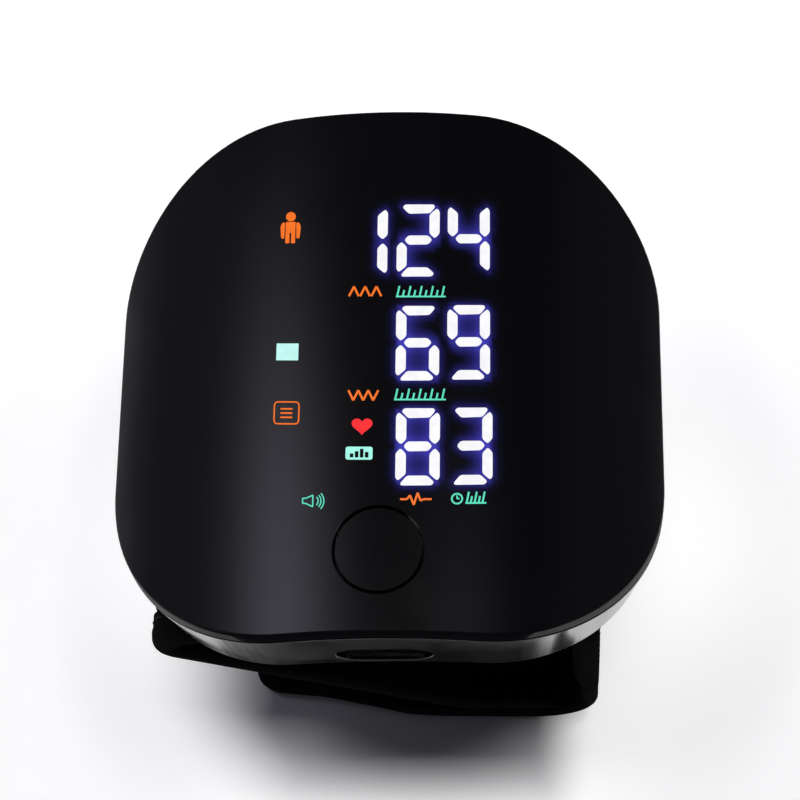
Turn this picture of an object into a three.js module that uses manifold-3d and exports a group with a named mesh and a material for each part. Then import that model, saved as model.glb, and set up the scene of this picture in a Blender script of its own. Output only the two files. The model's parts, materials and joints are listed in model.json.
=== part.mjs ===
// Wrist blood pressure monitor: a curved case with a lit display, on a soft cuff closed into a loop.
// Millimetres, +Z up. The origin lies on the table under the middle of the case.
// The start button and the charging socket are on the -Y side. The wrist goes through the loop along Y.
import * as THREE from "three";
import { mergeVertices } from "three/addons/utils/BufferGeometryUtils.js";
import Module from "manifold-3d";

const wasm = await Module();
wasm.setup();

// Clearances
const GAP = 0.3; // between pieces that seat on each other
const HOLE_GAP = 0.35; // around what passes through a hole or slot

// Case
const STAND_HEIGHT = 64; // table to the crown of the face
const CASE_SIDE = 68; // width and length of the case from above
const CORNER_RADIUS = 22.4;
const FACE_DROP = 13.41; // the sides of the face lie this far below its crown
const CASE_DEPTH = 17.9; // crown of the face to the middle of the back
const BACK_DROP = 8.53; // the back bends less than the face
const WALL_LEAN = 1.5; // how far the wall leans in between seam and back
const PANEL_THICK = 2.2;
const WALL_THICK = 1.8;
const DECK_DROP = 0.2; // the deck lies this far below the wall's rim
const DECK_THICK = 1.4;
const BACK_THICK = 1.6;

// Start button and its switch
const BUTTON_INSET = 10.1; // near edge of the case to the middle of the button
const BUTTON_DIAMETER = 10.2;
const BUTTON_FLANGE = 1.2; // how far the flange reaches past the cap
const BUTTON_FLANGE_THICK = 1;
const BUTTON_STEM_DIAMETER = 3.4;
const BUTTON_TRAVEL = 0.5;
const SWITCH_SIDE = 6;
const SWITCH_HEIGHT = 2.6;
const SWITCH_STEM_DIAMETER = 2.6;
const SWITCH_STEM_HEIGHT = 0.8; // above the switch body

// Display
const DISPLAY_BUTTON_GAP = 1.5; // from the flange of the button
const DISPLAY_FAR_INSET = 11.3; // from the far edge of the case
const DISPLAY_SIDE_INSET = 0.5; // from the edge of the board
const DISPLAY_MARGIN = 0.9; // around the windows
const FILM_THICK = 0.4;
const ROW_GAP = 3.65; // between the windows of two rows
const LONG_ROW_START = -1.7; // along X from the middle, where the row of three digits starts
const SHORT_ROW_START = 1.1;
const ICON_COLUMN_WIDTH = 4.8;
const ICON_COLUMN_INSET = 7; // past the near margin
const LONG_ROW_LAMPS = [4, 3]; // across and along
const SHORT_ROW_LAMPS = [3, 3];
const ICON_LAMPS = [1, 4];
const LED_STRIP_THICK = 0.4;
const LED_CHIP = { width: 1.6, length: 0.8, height: 0.7 };

// Main board and what is soldered on it
const BOARD_DEPTH = 8.3; // crown of the face to the top of the board
const BOARD_THICK = 1.2;
const BOARD_NEAR_INSET = 3.1; // from the near edge of the case
const BOARD_FAR_INSET = 9.5;
const BOARD_BOSS_GAP = 1; // from the bosses of the near screws
const CHIP = { x: -6, pastButton: 6.7, side: 7, thick: 1.2 };
const SOCKET = { width: 9, height: 3.2, length: 7, wall: 0.35, tongue: 6.6, tongueThick: 0.7 };
const SOCKET_WINDOW = { width: 11.6, height: 5.2 };
const SENSOR = { x: 9, pastButton: 0.9, side: 6, height: 3.8 };

// Air path
const BARB_DIAMETER = 2.2;
const BARB_LENGTH = 2.4;
const HOSE_WALL = 0.5;
const MANIFOLD = { x: 9, pastSensor: 12, side: 7, height: 4.7, portHeight: 2.6 };
const NIPPLE_DIAMETER = 4;
const NIPPLE_BORE = 2;
const NIPPLE_REACH = 1.5; // into the manifold
const SEAL_WALL = 1;
const SEAL_THICK = 1;

// Pump and valve lie along Y in the channels beside the board
const CHANNEL_INSET = 10.5; // side of the case to the middle of the channel
const CHANNEL_GAP = 0.35;
const PUMP_PAST_MANIFOLD = 3;
const PUMP_HEAD_LENGTH = 3.5;
const DIAPHRAGM_THICK = 0.8;
const CHAMBER_LENGTH = 4;
const MOTOR_LENGTH = 13;
const MOTOR_CAP_LENGTH = 1.5;
const MOTOR_BEARING_DEPTH = 1;
const CAN_WALL = 0.45;
const CAN_END = 0.8;
const SHAFT_DIAMETER = 1.2;
const ARMATURE_GAP = 0.9;
const CRANK = { radius: 1.9, offset: 0.5, length: 1.5 };
const VALVE_PAST_MANIFOLD = 10.6;
const VALVE_CAP_LENGTH = 2.1;
const VALVE_LENGTH = 11;
const VALVE_WALL = 0.6;
const COIL_LENGTH = 7.4;
const PLUNGER_DIAMETER = 2.8;
const PLUNGER_LENGTH = 7.4;
const PLUNGER_TRAVEL = 0.6;
const SPRING = { radius: 0.9, wire: 0.14, turns: 4 };

// Battery, speaker and leads
const BATTERY = { sideInset: 2.5, manifoldGap: 1, farInset: 13, thick: 4, corner: 1.5 };
const PAD = { halfWidth: 8, length: 12, inset: 3 };
const SPEAKER = { inset: 11.5, pastScrew: 8, radius: 5.5, height: 3, rim: 0.8 };
const SPEAKER_CONE = { recess: 1.3, thick: 0.6, dome: 1.8 };
const LEAD = { width: 1, thick: 0.8, slack: 1.6, landing: 1.5 }; // landing: in from the edge of the board
const BATTERY_LEAD_X = -3;
const SPEAKER_LEAD_SHIFT = 1.5; // along Y from the middle of the speaker

// Screws
const FAR_SCREW = { x: 10, inset: 6.4 };
const NEAR_SCREW = { inset: 15, nearInset: 11 };
const BOSS_RADIUS = 2.5;
const SCREW = { head: 1.9, headThick: 1, shank: 0.8, length: 5.2, sink: 0.8, drive: 0.75, driveDepth: 0.5 };
const SCREW_SEAT = 1.3; // wall of the back cover above the screw head
const BOARD_SCREW_INSET = { side: 2.3, near: 2.9 };
const BOARD_SCREW = { head: 1.6, headThick: 0.8, shank: 0.75, length: 3.1, boss: 2.2 };

// Cuff: a strap whose layers follow one spiral path, from the flap's end to the tail's end
const CUFF_WIDTH = 54;
const COVER_THICK = 0.8;
const FILLING_THICK = 1.2; // bladder, and the binding beside it
const LINING_THICK = 0.6;
const BINDING_WIDTH = 3;
const PLATE_THICK = 1.2;
const PLATE_MARGIN = 3.8; // past its legs
const PLATE_HALF_LENGTH = 22;
const PLATE_CORNER = 6;
const PLATE_LEG = { width: 4, thick: 1.2, hook: 0.5, hookHeight: 1 };
const PLATE_LEG_PLACE = { batteryGap: 2.2, pastScrew: 6, farInset: 20 };
const ARM_X = 25.9; // outside of the right arm
const SHOULDER_RADIUS = 8;
const FOLD_X = 31.2; // outermost point of the left fold
const FOLD_RADIUS = 4.6;
const TAIL_RADIUS = 8;
const TAIL_FLAT = 11;
const TAIL_ARM_GAP = 1.9; // between the tail's end and the right arm
const HINGE_HEIGHT = 14; // table to the line where the flap peels away
const FLAP_THICK = 2.2;
const FLAP_CORNER_RADIUS = 8.5;
const FLAP_END_X = -20.5;
const FLAP_TAPER_X = 14; // the flap narrows from here to its end
const FLAP_END_WIDTH = 45.6;
const FLAP_END_CORNER = 4;
const HOOK_THICK = 0.9;
const LOOP_THICK = 0.7;
const PATCH_WIDTH = 40;
const HOOK_START = 3; // from the flap's end
const HOOK_LENGTH = 34;
const LOOP_LENGTH = 24;
const BLADDER_START = 5; // above the hinge
const BLADDER_STOP = 40; // before the tail's end

// Facets
const FACE_FACETS = 96;
const CORNER_STEPS = 10;
const EDGE_STEPS = 8;
const ROUND = 20;
const SMALL_ROUND = 12;
const BUTTON_ROUND = 40;
const HEX = 6;
const SLOT_STEPS = 8; // on each round end
const SMALL_CORNER_STEPS = 4;
const HOSE_STEPS = 14;
const LEAD_STEPS = 10;
const CUFF_TURN_STEP = 12; // degrees
const CUFF_LENGTH_STEP = 6;
const LEAST_STEP = 0.02;
const SPRING_STEPS = 8; // on each turn
const WIRE_SIDES = 5;
const HALVINGS = 50;
const FAR = 200;
const MERGE = 1e-4;

const DEG = Math.PI / 180;
const halfCase = CASE_SIDE / 2;
const bendRadius = (drop) => (halfCase ** 2 + drop ** 2) / (2 * drop);
const faceRadius = bendRadius(FACE_DROP);
const backRadius = bendRadius(BACK_DROP);
const faceAxisZ = STAND_HEIGHT - faceRadius;
const backAxisZ = STAND_HEIGHT - CASE_DEPTH - backRadius;
const rimDepth = PANEL_THICK + GAP; // below the face, measured square to it
const deckTop = rimDepth + DECK_DROP;
const deckUnder = deckTop + DECK_THICK;
const boardTop = STAND_HEIGHT - BOARD_DEPTH;
const boardUnder = boardTop - BOARD_THICK;

// Places that follow the case, the button and each other
const buttonY = BUTTON_INSET - halfCase;
const flangeRadius = BUTTON_DIAMETER / 2 + BUTTON_FLANGE;
const nearScrewX = halfCase - NEAR_SCREW.inset;
const nearScrewY = NEAR_SCREW.nearInset - halfCase;
const farScrewY = halfCase - FAR_SCREW.inset;
const caseScrews = [
  [FAR_SCREW.x, farScrewY],
  [-FAR_SCREW.x, farScrewY],
  [nearScrewX, nearScrewY],
  [-nearScrewX, nearScrewY],
];
const boardHalf = nearScrewX - BOSS_RADIUS - BOARD_BOSS_GAP;
const boardNear = BOARD_NEAR_INSET - halfCase;
const boardFar = halfCase - BOARD_FAR_INSET;
const boardScrewX = boardHalf - BOARD_SCREW_INSET.side;
const boardScrewY = boardNear + BOARD_SCREW_INSET.near;
const boardScrews = [
  [boardScrewX, boardScrewY],
  [-boardScrewX, boardScrewY],
];
const displayHalf = boardHalf - DISPLAY_SIDE_INSET;
const displayNear = buttonY + flangeRadius + DISPLAY_BUTTON_GAP;
const displayFar = halfCase - DISPLAY_FAR_INSET;
const chipY = buttonY + CHIP.pastButton;
const sensorY = buttonY + SENSOR.pastButton;
const manifoldY = sensorY + MANIFOLD.pastSensor;
const channelX = halfCase - CHANNEL_INSET;
const pumpFront = manifoldY + PUMP_PAST_MANIFOLD;
const valveFront = manifoldY + VALVE_PAST_MANIFOLD;
const batteryHalf = boardHalf - BATTERY.sideInset;
const batteryNear = manifoldY + MANIFOLD.side / 2 + BATTERY.manifoldGap;
const batteryFar = halfCase - BATTERY.farInset;
const speakerX = SPEAKER.inset - halfCase;
const speakerY = nearScrewY + SPEAKER.pastScrew;
const legX = batteryHalf + PLATE_LEG_PLACE.batteryGap;
const legYs = [nearScrewY + PLATE_LEG_PLACE.pastScrew, halfCase - PLATE_LEG_PLACE.farInset];

// Height of a layer of the face, or of the back, at x.
function faceZ(x, depth) {
  return faceAxisZ + Math.sqrt((faceRadius - depth) ** 2 - x * x);
}
function backZ(x, height) {
  return backAxisZ + Math.sqrt((backRadius + height) ** 2 - x * x);
}

// A closed geometry as a solid for booleans.
function solid(geometry) {
  const loose = geometry.index ? geometry.toNonIndexed() : geometry;
  const bare = new THREE.BufferGeometry();
  bare.setAttribute("position", loose.getAttribute("position"));
  const merged = mergeVertices(bare, MERGE);
  const corners = merged.index.array;
  const kept = [];
  for (let i = 0; i < corners.length; i += 3) {
    const [a, b, c] = [corners[i], corners[i + 1], corners[i + 2]];
    if (a !== b && b !== c && c !== a) kept.push(a, b, c);
  }
  const build = (triangles) =>
    new wasm.Manifold(
      new wasm.Mesh({
        numProp: 3,
        vertProperties: new Float32Array(merged.attributes.position.array),
        triVerts: new Uint32Array(triangles),
      }),
    );
  const made = build(kept);
  if (made.volume() > 0) return made;
  return build(kept.reverse());
}

function box(x, y, z) {
  const shape = new THREE.BoxGeometry(x[1] - x[0], y[1] - y[0], z[1] - z[0]);
  shape.translate((x[0] + x[1]) / 2, (y[0] + y[1]) / 2, (z[0] + z[1]) / 2);
  return solid(shape);
}

// Round bars along Z, Y or X.
function post(x, y, radius, low, high, facets = ROUND) {
  const shape = new THREE.CylinderGeometry(radius, radius, high - low, facets);
  shape.rotateX(Math.PI / 2);
  return solid(shape.translate(x, y, (low + high) / 2));
}
function barAlongY(x, z, radius, low, high, facets = SMALL_ROUND) {
  const shape = new THREE.CylinderGeometry(radius, radius, high - low, facets);
  return solid(shape.translate(x, (low + high) / 2, z));
}
function barAlongX(y, z, radius, low, high) {
  const shape = new THREE.CylinderGeometry(radius, radius, high - low, SMALL_ROUND);
  shape.rotateZ(Math.PI / 2);
  return solid(shape.translate((low + high) / 2, y, z));
}

// A profile of [radius, y] corners turned about a line along Y.
function turned(profile, x, z, facets = ROUND) {
  const points = profile.map(([radius, y]) => new THREE.Vector2(radius, y));
  points.push(points[0].clone());
  return solid(new THREE.LatheGeometry(points, facets).translate(x, 0, z));
}

// An outline in plan, raised from one height to another.
function prism(points, low, high) {
  const shape = new THREE.ExtrudeGeometry(new THREE.Shape(points), {
    depth: high - low,
    bevelEnabled: false,
  });
  return solid(shape.translate(0, 0, low));
}

// An outline in X and Z, drawn out along Y.
function strip(points, low, high) {
  const shape = new THREE.ExtrudeGeometry(new THREE.Shape(points), {
    depth: high - low,
    bevelEnabled: false,
  });
  shape.rotateX(Math.PI / 2);
  return solid(shape.translate(0, high, 0));
}

// Everything under a layer of the face, or under a layer of the back.
function underFace(depth) {
  const radius = faceRadius - depth;
  const shape = new THREE.CylinderGeometry(radius, radius, FAR, FACE_FACETS);
  return solid(shape.translate(0, 0, faceAxisZ));
}
function underBack(height) {
  const radius = backRadius + height;
  const shape = new THREE.CylinderGeometry(radius, radius, FAR, FACE_FACETS);
  return solid(shape.translate(0, 0, backAxisZ));
}

// The case outline from above, moved in by an inset.
function caseOutline(inset) {
  const radius = CORNER_RADIUS - inset;
  const centre = halfCase - CORNER_RADIUS;
  const points = [];
  for (let corner = 0; corner < 4; corner++) {
    const start = (corner * Math.PI) / 2;
    const cx = Math.cos(start + Math.PI / 4) > 0 ? centre : -centre;
    const cy = Math.sin(start + Math.PI / 4) > 0 ? centre : -centre;
    for (let i = 0; i <= CORNER_STEPS; i++) {
      const angle = start + (i / CORNER_STEPS) * (Math.PI / 2);
      points.push(new THREE.Vector2(cx + radius * Math.cos(angle), cy + radius * Math.sin(angle)));
    }
    const last = points[points.length - 1];
    const along = start + Math.PI;
    for (let i = 1; i < EDGE_STEPS; i++) {
      const run = (i / EDGE_STEPS) * 2 * centre;
      points.push(new THREE.Vector2(last.x + run * Math.cos(along), last.y + run * Math.sin(along)));
    }
  }
  return points;
}

// A rounded rectangle in plan.
function roundedRectangle(halfWidth, lowY, highY, radius) {
  const points = [];
  const centres = [
    [halfWidth - radius, highY - radius],
    [radius - halfWidth, highY - radius],
    [radius - halfWidth, lowY + radius],
    [halfWidth - radius, lowY + radius],
  ];
  centres.forEach(([cx, cy], corner) => {
    for (let i = 0; i <= SMALL_CORNER_STEPS; i++) {
      const angle = ((corner + i / SMALL_CORNER_STEPS) * Math.PI) / 2;
      points.push(new THREE.Vector2(cx + radius * Math.cos(angle), cy + radius * Math.sin(angle)));
    }
  });
  return points;
}

// Rings of points joined in turn, and the last to the first, as one closed wall.
function wallOfRings(rings) {
  const count = rings[0].length;
  const positions = [];
  for (let r = 0; r < rings.length; r++) {
    const near = rings[r];
    const next = rings[(r + 1) % rings.length];
    for (let i = 0; i < count; i++) {
      const j = (i + 1) % count;
      for (const p of [near[i], near[j], next[j], near[i], next[j], next[i]]) positions.push(...p);
    }
  }
  const shape = new THREE.BufferGeometry();
  shape.setAttribute("position", new THREE.Float32BufferAttribute(positions, 3));
  return solid(shape);
}

// A hollow hose, or a solid lead, along a smooth line through points.
function drawnAlong(points, section, steps) {
  const line = new THREE.CatmullRomCurve3(points.map((p) => new THREE.Vector3(...p)));
  return solid(new THREE.ExtrudeGeometry(section, { steps, extrudePath: line }));
}
function ringSection(outer, bore) {
  const section = new THREE.Shape();
  section.absarc(0, 0, outer, 0, 2 * Math.PI);
  const hole = new THREE.Path();
  hole.absarc(0, 0, bore, 0, 2 * Math.PI, true);
  section.holes.push(hole);
  return section;
}
function hose(points) {
  const bore = BARB_DIAMETER / 2 + GAP;
  const section = ringSection(bore + HOSE_WALL, bore);
  const line = new THREE.CatmullRomCurve3(points.map((p) => new THREE.Vector3(...p)));
  const options = { steps: HOSE_STEPS, curveSegments: SMALL_CORNER_STEPS, extrudePath: line };
  return solid(new THREE.ExtrudeGeometry(section, options));
}
function lead(points) {
  const [w, t] = [LEAD.width / 2, LEAD.thick / 2];
  const section = new THREE.Shape([
    new THREE.Vector2(-t, -w),
    new THREE.Vector2(t, -w),
    new THREE.Vector2(t, w),
    new THREE.Vector2(-t, w),
  ]);
  return drawnAlong(points, section, LEAD_STEPS);
}

// The finished part
const part = new THREE.Group();
part.name = "wrist_blood_pressure_monitor";
const finish = (color, roughness, metalness = 0) =>
  new THREE.MeshStandardMaterial({ color, roughness, metalness });
const SATIN_BLACK = finish(0x101013, 0.4);
const GLOSS_BLACK = finish(0x0b0b0d, 0.12);
const WHITE_PLASTIC = finish(0xd8d8d6, 0.5);
const CLEAR_FILM = finish(0x9a9aa8, 0.6);
const GREEN_BOARD = finish(0x1d5a3a, 0.5);
const DARK_CHIP = finish(0x17181a, 0.5);
const STEEL = finish(0xb9bcc0, 0.3, 1);
const COPPER = finish(0xb06a3c, 0.4, 1);
const SILVER_FOIL = finish(0xa8acb0, 0.4, 0.8);
const FOAM = finish(0x55565a, 0.95);
const SILICONE = finish(0xc9ccd0, 0.6);
const LEAD_RED = finish(0x8e1f1c, 0.6);
const FABRIC = finish(0x131316, 0.95);
const BLADDER_FILM = finish(0x6d7480, 0.5);

function add(name, made, material) {
  const got = made.getMesh();
  const shape = new THREE.BufferGeometry();
  shape.setAttribute("position", new THREE.Float32BufferAttribute(got.vertProperties, got.numProp));
  shape.setIndex(new THREE.Uint32BufferAttribute(got.triVerts, 1));
  const faceted = shape.toNonIndexed();
  faceted.computeVertexNormals();
  const mesh = new THREE.Mesh(faceted, material);
  mesh.name = name;
  part.add(mesh);
}

// Front panel, with the hole for the button
const buttonHole = BUTTON_DIAMETER / 2 + HOLE_GAP;
const panel = prism(caseOutline(0), 0, STAND_HEIGHT + 1)
  .intersect(underFace(0))
  .subtract(underFace(PANEL_THICK))
  .subtract(post(0, buttonY, buttonHole, 0, FAR, BUTTON_ROUND));
add("front_panel", panel, SATIN_BLACK);

// Front case: the leaning wall, the deck under the panel and the bosses that hang from it
const rimRing = (inset, depth) =>
  caseOutline(inset).map((p) => [p.x, p.y, faceZ(p.x, depth)]);
const footRing = (inset) => caseOutline(inset).map((p) => [p.x, p.y, backZ(p.x, 0)]);
const innerFoot = WALL_LEAN + WALL_THICK;
let frontCase = wallOfRings([
  rimRing(0, rimDepth),
  footRing(WALL_LEAN),
  footRing(innerFoot),
  rimRing(WALL_THICK, rimDepth),
]);
const windowHalf = displayHalf + GAP;
const deck = prism(caseOutline(WALL_THICK / 2), 0, STAND_HEIGHT)
  .intersect(underFace(deckTop))
  .subtract(underFace(deckUnder))
  .subtract(box([-windowHalf, windowHalf], [displayNear - GAP, displayFar + GAP], [0, FAR]))
  .subtract(post(0, buttonY, flangeRadius + HOLE_GAP, 0, FAR, BUTTON_ROUND));
frontCase = frontCase.add(deck);
const insideCase = underFace((deckTop + deckUnder) / 2);
const screwHeadLow = (x) => backZ(x, 0) + SCREW.sink;
const seatTop = (x) => screwHeadLow(x) + SCREW.headThick + GAP + SCREW_SEAT;
for (const [x, y] of caseScrews) {
  const low = seatTop(x) + GAP;
  const pilotTop = screwHeadLow(x) + SCREW.headThick + SCREW.length + GAP;
  const boss = post(x, y, BOSS_RADIUS, low, STAND_HEIGHT).intersect(insideCase);
  frontCase = frontCase.add(boss).subtract(post(x, y, SCREW.shank + GAP, low - 1, pilotTop, SMALL_ROUND));
}
for (const [x, y] of boardScrews) {
  const boss = post(x, y, BOARD_SCREW.boss, boardTop + GAP, STAND_HEIGHT).intersect(insideCase);
  const pilotTop = boardUnder - GAP + BOARD_SCREW.length + GAP;
  const pilot = post(x, y, BOARD_SCREW.shank + GAP, boardTop - 1, pilotTop, SMALL_ROUND);
  frontCase = frontCase.add(boss).subtract(pilot);
}
// A slot with round ends, drawn out along Y, for the charging socket and its window
function roundedSlot(width, height, z, low, high) {
  const radius = height / 2;
  const reach = width / 2 - radius;
  const points = [];
  for (const side of [1, -1]) {
    for (let i = 0; i <= SLOT_STEPS; i++) {
      const angle = (i / SLOT_STEPS - side / 2) * Math.PI;
      points.push(new THREE.Vector2(side * reach + radius * Math.cos(angle), z + radius * Math.sin(angle)));
    }
  }
  return strip(points, low, high);
}
const socketZ = boardUnder - GAP - SOCKET.height / 2;
const wallInnerY = WALL_THICK - halfCase;
frontCase = frontCase.subtract(
  roundedSlot(SOCKET_WINDOW.width, SOCKET_WINDOW.height, socketZ, -CASE_SIDE, wallInnerY + WALL_LEAN),
);
add("front_case", frontCase, GLOSS_BLACK);

// Back cover inside the foot of the wall, with screw seats and the slots of the cuff plate
const floorZ = (x) => backZ(x, BACK_THICK);
let backCover = prism(caseOutline(innerFoot + GAP), 0, STAND_HEIGHT)
  .intersect(underBack(BACK_THICK))
  .subtract(underBack(0));
for (const [x, y] of caseScrews) {
  backCover = backCover
    .add(post(x, y, BOSS_RADIUS, backZ(x, BACK_THICK / 2), seatTop(x)))
    .subtract(post(x, y, SCREW.head + GAP, 0, screwHeadLow(x) + SCREW.headThick + GAP))
    .subtract(post(x, y, SCREW.shank + GAP, 0, STAND_HEIGHT, SMALL_ROUND));
}
const legInner = legX - PLATE_LEG.thick / 2;
const legOuter = legX + PLATE_LEG.thick / 2;
for (const side of [-1, 1]) {
  for (const y of legYs) {
    const xs = [side * (legInner - HOLE_GAP), side * (legOuter + HOLE_GAP)].sort((a, b) => a - b);
    const half = PLATE_LEG.width / 2 + HOLE_GAP;
    backCover = backCover.subtract(box(xs, [y - half, y + half], [0, STAND_HEIGHT]));
  }
}
const nippleHole = NIPPLE_DIAMETER / 2 + HOLE_GAP;
backCover = backCover.subtract(post(MANIFOLD.x, manifoldY, nippleHole, 0, STAND_HEIGHT));
add("back_cover", backCover, SATIN_BLACK);

caseScrews.forEach(([x, y], i) => {
  const low = screwHeadLow(x);
  const top = low + SCREW.headThick;
  const drive = post(x, y, SCREW.drive, low - 1, low + SCREW.driveDepth, HEX);
  const screw = post(x, y, SCREW.head, low, top)
    .add(post(x, y, SCREW.shank, top - GAP, top + SCREW.length, SMALL_ROUND))
    .subtract(drive);
  add(`case_screw_${i + 1}`, screw, STEEL);
});

// Start button, flush with the face, on the switch that it presses
const switchTop = boardTop + GAP + SWITCH_HEIGHT;
const switchStemTop = switchTop + SWITCH_STEM_HEIGHT;
const flangeTop = faceZ(flangeRadius, PANEL_THICK) - GAP;
const flangeLow = flangeTop - BUTTON_FLANGE_THICK;
const button = post(0, buttonY, BUTTON_DIAMETER / 2, flangeLow, FAR, BUTTON_ROUND)
  .intersect(underFace(0))
  .add(post(0, buttonY, flangeRadius, flangeLow, flangeTop, BUTTON_ROUND))
  .add(post(0, buttonY, BUTTON_STEM_DIAMETER / 2, switchStemTop + GAP, flangeTop));
add("start_button", button, SATIN_BLACK);
const switchLow = boardTop + GAP;
const stemHole = SWITCH_STEM_DIAMETER / 2 + GAP;
const stemLow = switchTop - BUTTON_TRAVEL - 2 * GAP;
const switchWell = stemLow - BUTTON_TRAVEL - GAP;
const halfSwitch = SWITCH_SIDE / 2;
const switchBody = box(
  [-halfSwitch, halfSwitch],
  [buttonY - halfSwitch, buttonY + halfSwitch],
  [switchLow, switchTop],
).subtract(post(0, buttonY, stemHole, switchWell, FAR));
add("switch_body", switchBody, DARK_CHIP);
const switchStem = post(0, buttonY, SWITCH_STEM_DIAMETER / 2, stemLow, switchStemTop);
add("switch_stem", switchStem, WHITE_PLASTIC);

// Display: reflector block with a window for each row, film above it and lamp strips below
const filmTop = rimDepth;
const filmUnder = filmTop + FILM_THICK;
const displayBox = (inset) =>
  box(
    [-displayHalf + inset, displayHalf - inset],
    [displayNear + inset, displayFar - inset],
    [boardTop + GAP, STAND_HEIGHT],
  );
const windowEdge = displayHalf - DISPLAY_MARGIN;
const windowNear = displayNear + DISPLAY_MARGIN;
const windowFar = displayFar - DISPLAY_MARGIN;
const rowStarts = [LONG_ROW_START, SHORT_ROW_START, SHORT_ROW_START];
const rowPitch = (windowFar - windowNear + ROW_GAP) / rowStarts.length;
const lampWindows = rowStarts.map((start, i) => ({
  name: `led_row_${i + 1}`,
  x: [start, windowEdge],
  y: [windowFar - (i + 1) * rowPitch + ROW_GAP, windowFar - i * rowPitch],
  chips: start === LONG_ROW_START ? LONG_ROW_LAMPS : SHORT_ROW_LAMPS,
}));
lampWindows.push({
  name: "led_icon_column",
  x: [-windowEdge, ICON_COLUMN_WIDTH - windowEdge],
  y: [windowNear + ICON_COLUMN_INSET, windowFar],
  chips: ICON_LAMPS,
});
let reflector = displayBox(0).intersect(underFace(filmUnder + GAP));
for (const row of lampWindows) reflector = reflector.subtract(box(row.x, row.y, [0, FAR]));
add("led_reflector", reflector, WHITE_PLASTIC);
const film = displayBox(GAP).intersect(underFace(filmTop)).subtract(underFace(filmUnder));
add("led_film", film, CLEAR_FILM);
for (const row of lampWindows) {
  const xs = [row.x[0] + GAP, row.x[1] - GAP];
  const ys = [row.y[0] + GAP, row.y[1] - GAP];
  const low = boardTop + GAP;
  const top = low + LED_STRIP_THICK;
  let lamps = box(xs, ys, [low, top]);
  const [across, along] = row.chips;
  for (let i = 0; i < across; i++) {
    for (let j = 0; j < along; j++) {
      const x = xs[0] + ((i + 0.5) / across) * (xs[1] - xs[0]);
      const y = ys[0] + ((j + 0.5) / along) * (ys[1] - ys[0]);
      const [w, l] = [LED_CHIP.width / 2, LED_CHIP.length / 2];
      lamps = lamps.add(box([x - w, x + w], [y - l, y + l], [low, top + LED_CHIP.height]));
    }
  }
  add(row.name, lamps, WHITE_PLASTIC);
}

// Main board
let board = box(
  [-boardHalf, boardHalf],
  [boardNear, boardFar],
  [boardUnder, boardTop],
);
for (const [x, y] of boardScrews) {
  board = board.subtract(post(x, y, BOARD_SCREW.shank + GAP, 0, FAR, SMALL_ROUND));
}
add("main_board", board, GREEN_BOARD);
boardScrews.forEach(([x, y], i) => {
  const top = boardUnder - GAP;
  const low = top - BOARD_SCREW.headThick;
  const screw = post(x, y, BOARD_SCREW.head, low, top).add(
    post(x, y, BOARD_SCREW.shank, top - GAP, top + BOARD_SCREW.length, SMALL_ROUND),
  );
  add(`board_screw_${i + 1}`, screw, STEEL);
});
const underBoard = boardUnder - GAP;
const halfChip = CHIP.side / 2;
const chip = box(
  [CHIP.x - halfChip, CHIP.x + halfChip],
  [chipY - halfChip, chipY + halfChip],
  [underBoard - CHIP.thick, underBoard],
);
add("control_chip", chip, DARK_CHIP);

// Charging socket: a hollow shell with its tongue
const socketFront = wallInnerY + WALL_LEAN / 2 + GAP;
const socketRear = socketFront + SOCKET.length;
const socketFloor = socketRear - SOCKET.wall * 2;
const halfTongue = SOCKET.tongue / 2;
const socket = roundedSlot(SOCKET.width, SOCKET.height, socketZ, socketFront, socketRear)
  .subtract(
    roundedSlot(
      SOCKET.width - 2 * SOCKET.wall,
      SOCKET.height - 2 * SOCKET.wall,
      socketZ,
      socketFront - 1,
      socketFloor,
    ),
  )
  .add(
    box(
      [-halfTongue, halfTongue],
      [socketFront + 1, socketRear],
      [socketZ - SOCKET.tongueThick / 2, socketZ + SOCKET.tongueThick / 2],
    ),
  );
add("charge_socket", socket, STEEL);

// Air path: manifold over the cuff nipple, with a barb each for pump, valve and sensor
const sealLow = floorZ(MANIFOLD.x - NIPPLE_DIAMETER / 2 - GAP - SEAL_WALL) + GAP;
const manifoldLow = sealLow + SEAL_THICK + GAP;
const manifoldTop = manifoldLow + MANIFOLD.height;
const barb = BARB_DIAMETER / 2;
const portZ = manifoldLow + MANIFOLD.portHeight;
const manifoldWest = MANIFOLD.x - MANIFOLD.side / 2;
const manifoldEast = MANIFOLD.x + MANIFOLD.side / 2;
const manifoldSouth = manifoldY - MANIFOLD.side / 2;
const manifoldNorth = manifoldY + MANIFOLD.side / 2;
const nippleTop = manifoldLow + NIPPLE_REACH;
const manifold = box([manifoldWest, manifoldEast], [manifoldSouth, manifoldNorth], [manifoldLow, manifoldTop])
  .add(barAlongX(manifoldY, portZ, barb, manifoldWest - BARB_LENGTH, manifoldEast + BARB_LENGTH))
  .add(barAlongY(MANIFOLD.x, portZ, barb, manifoldSouth - BARB_LENGTH, manifoldY))
  .subtract(post(MANIFOLD.x, manifoldY, NIPPLE_DIAMETER / 2 + GAP, 0, nippleTop + GAP));
add("air_manifold", manifold, WHITE_PLASTIC);

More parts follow.
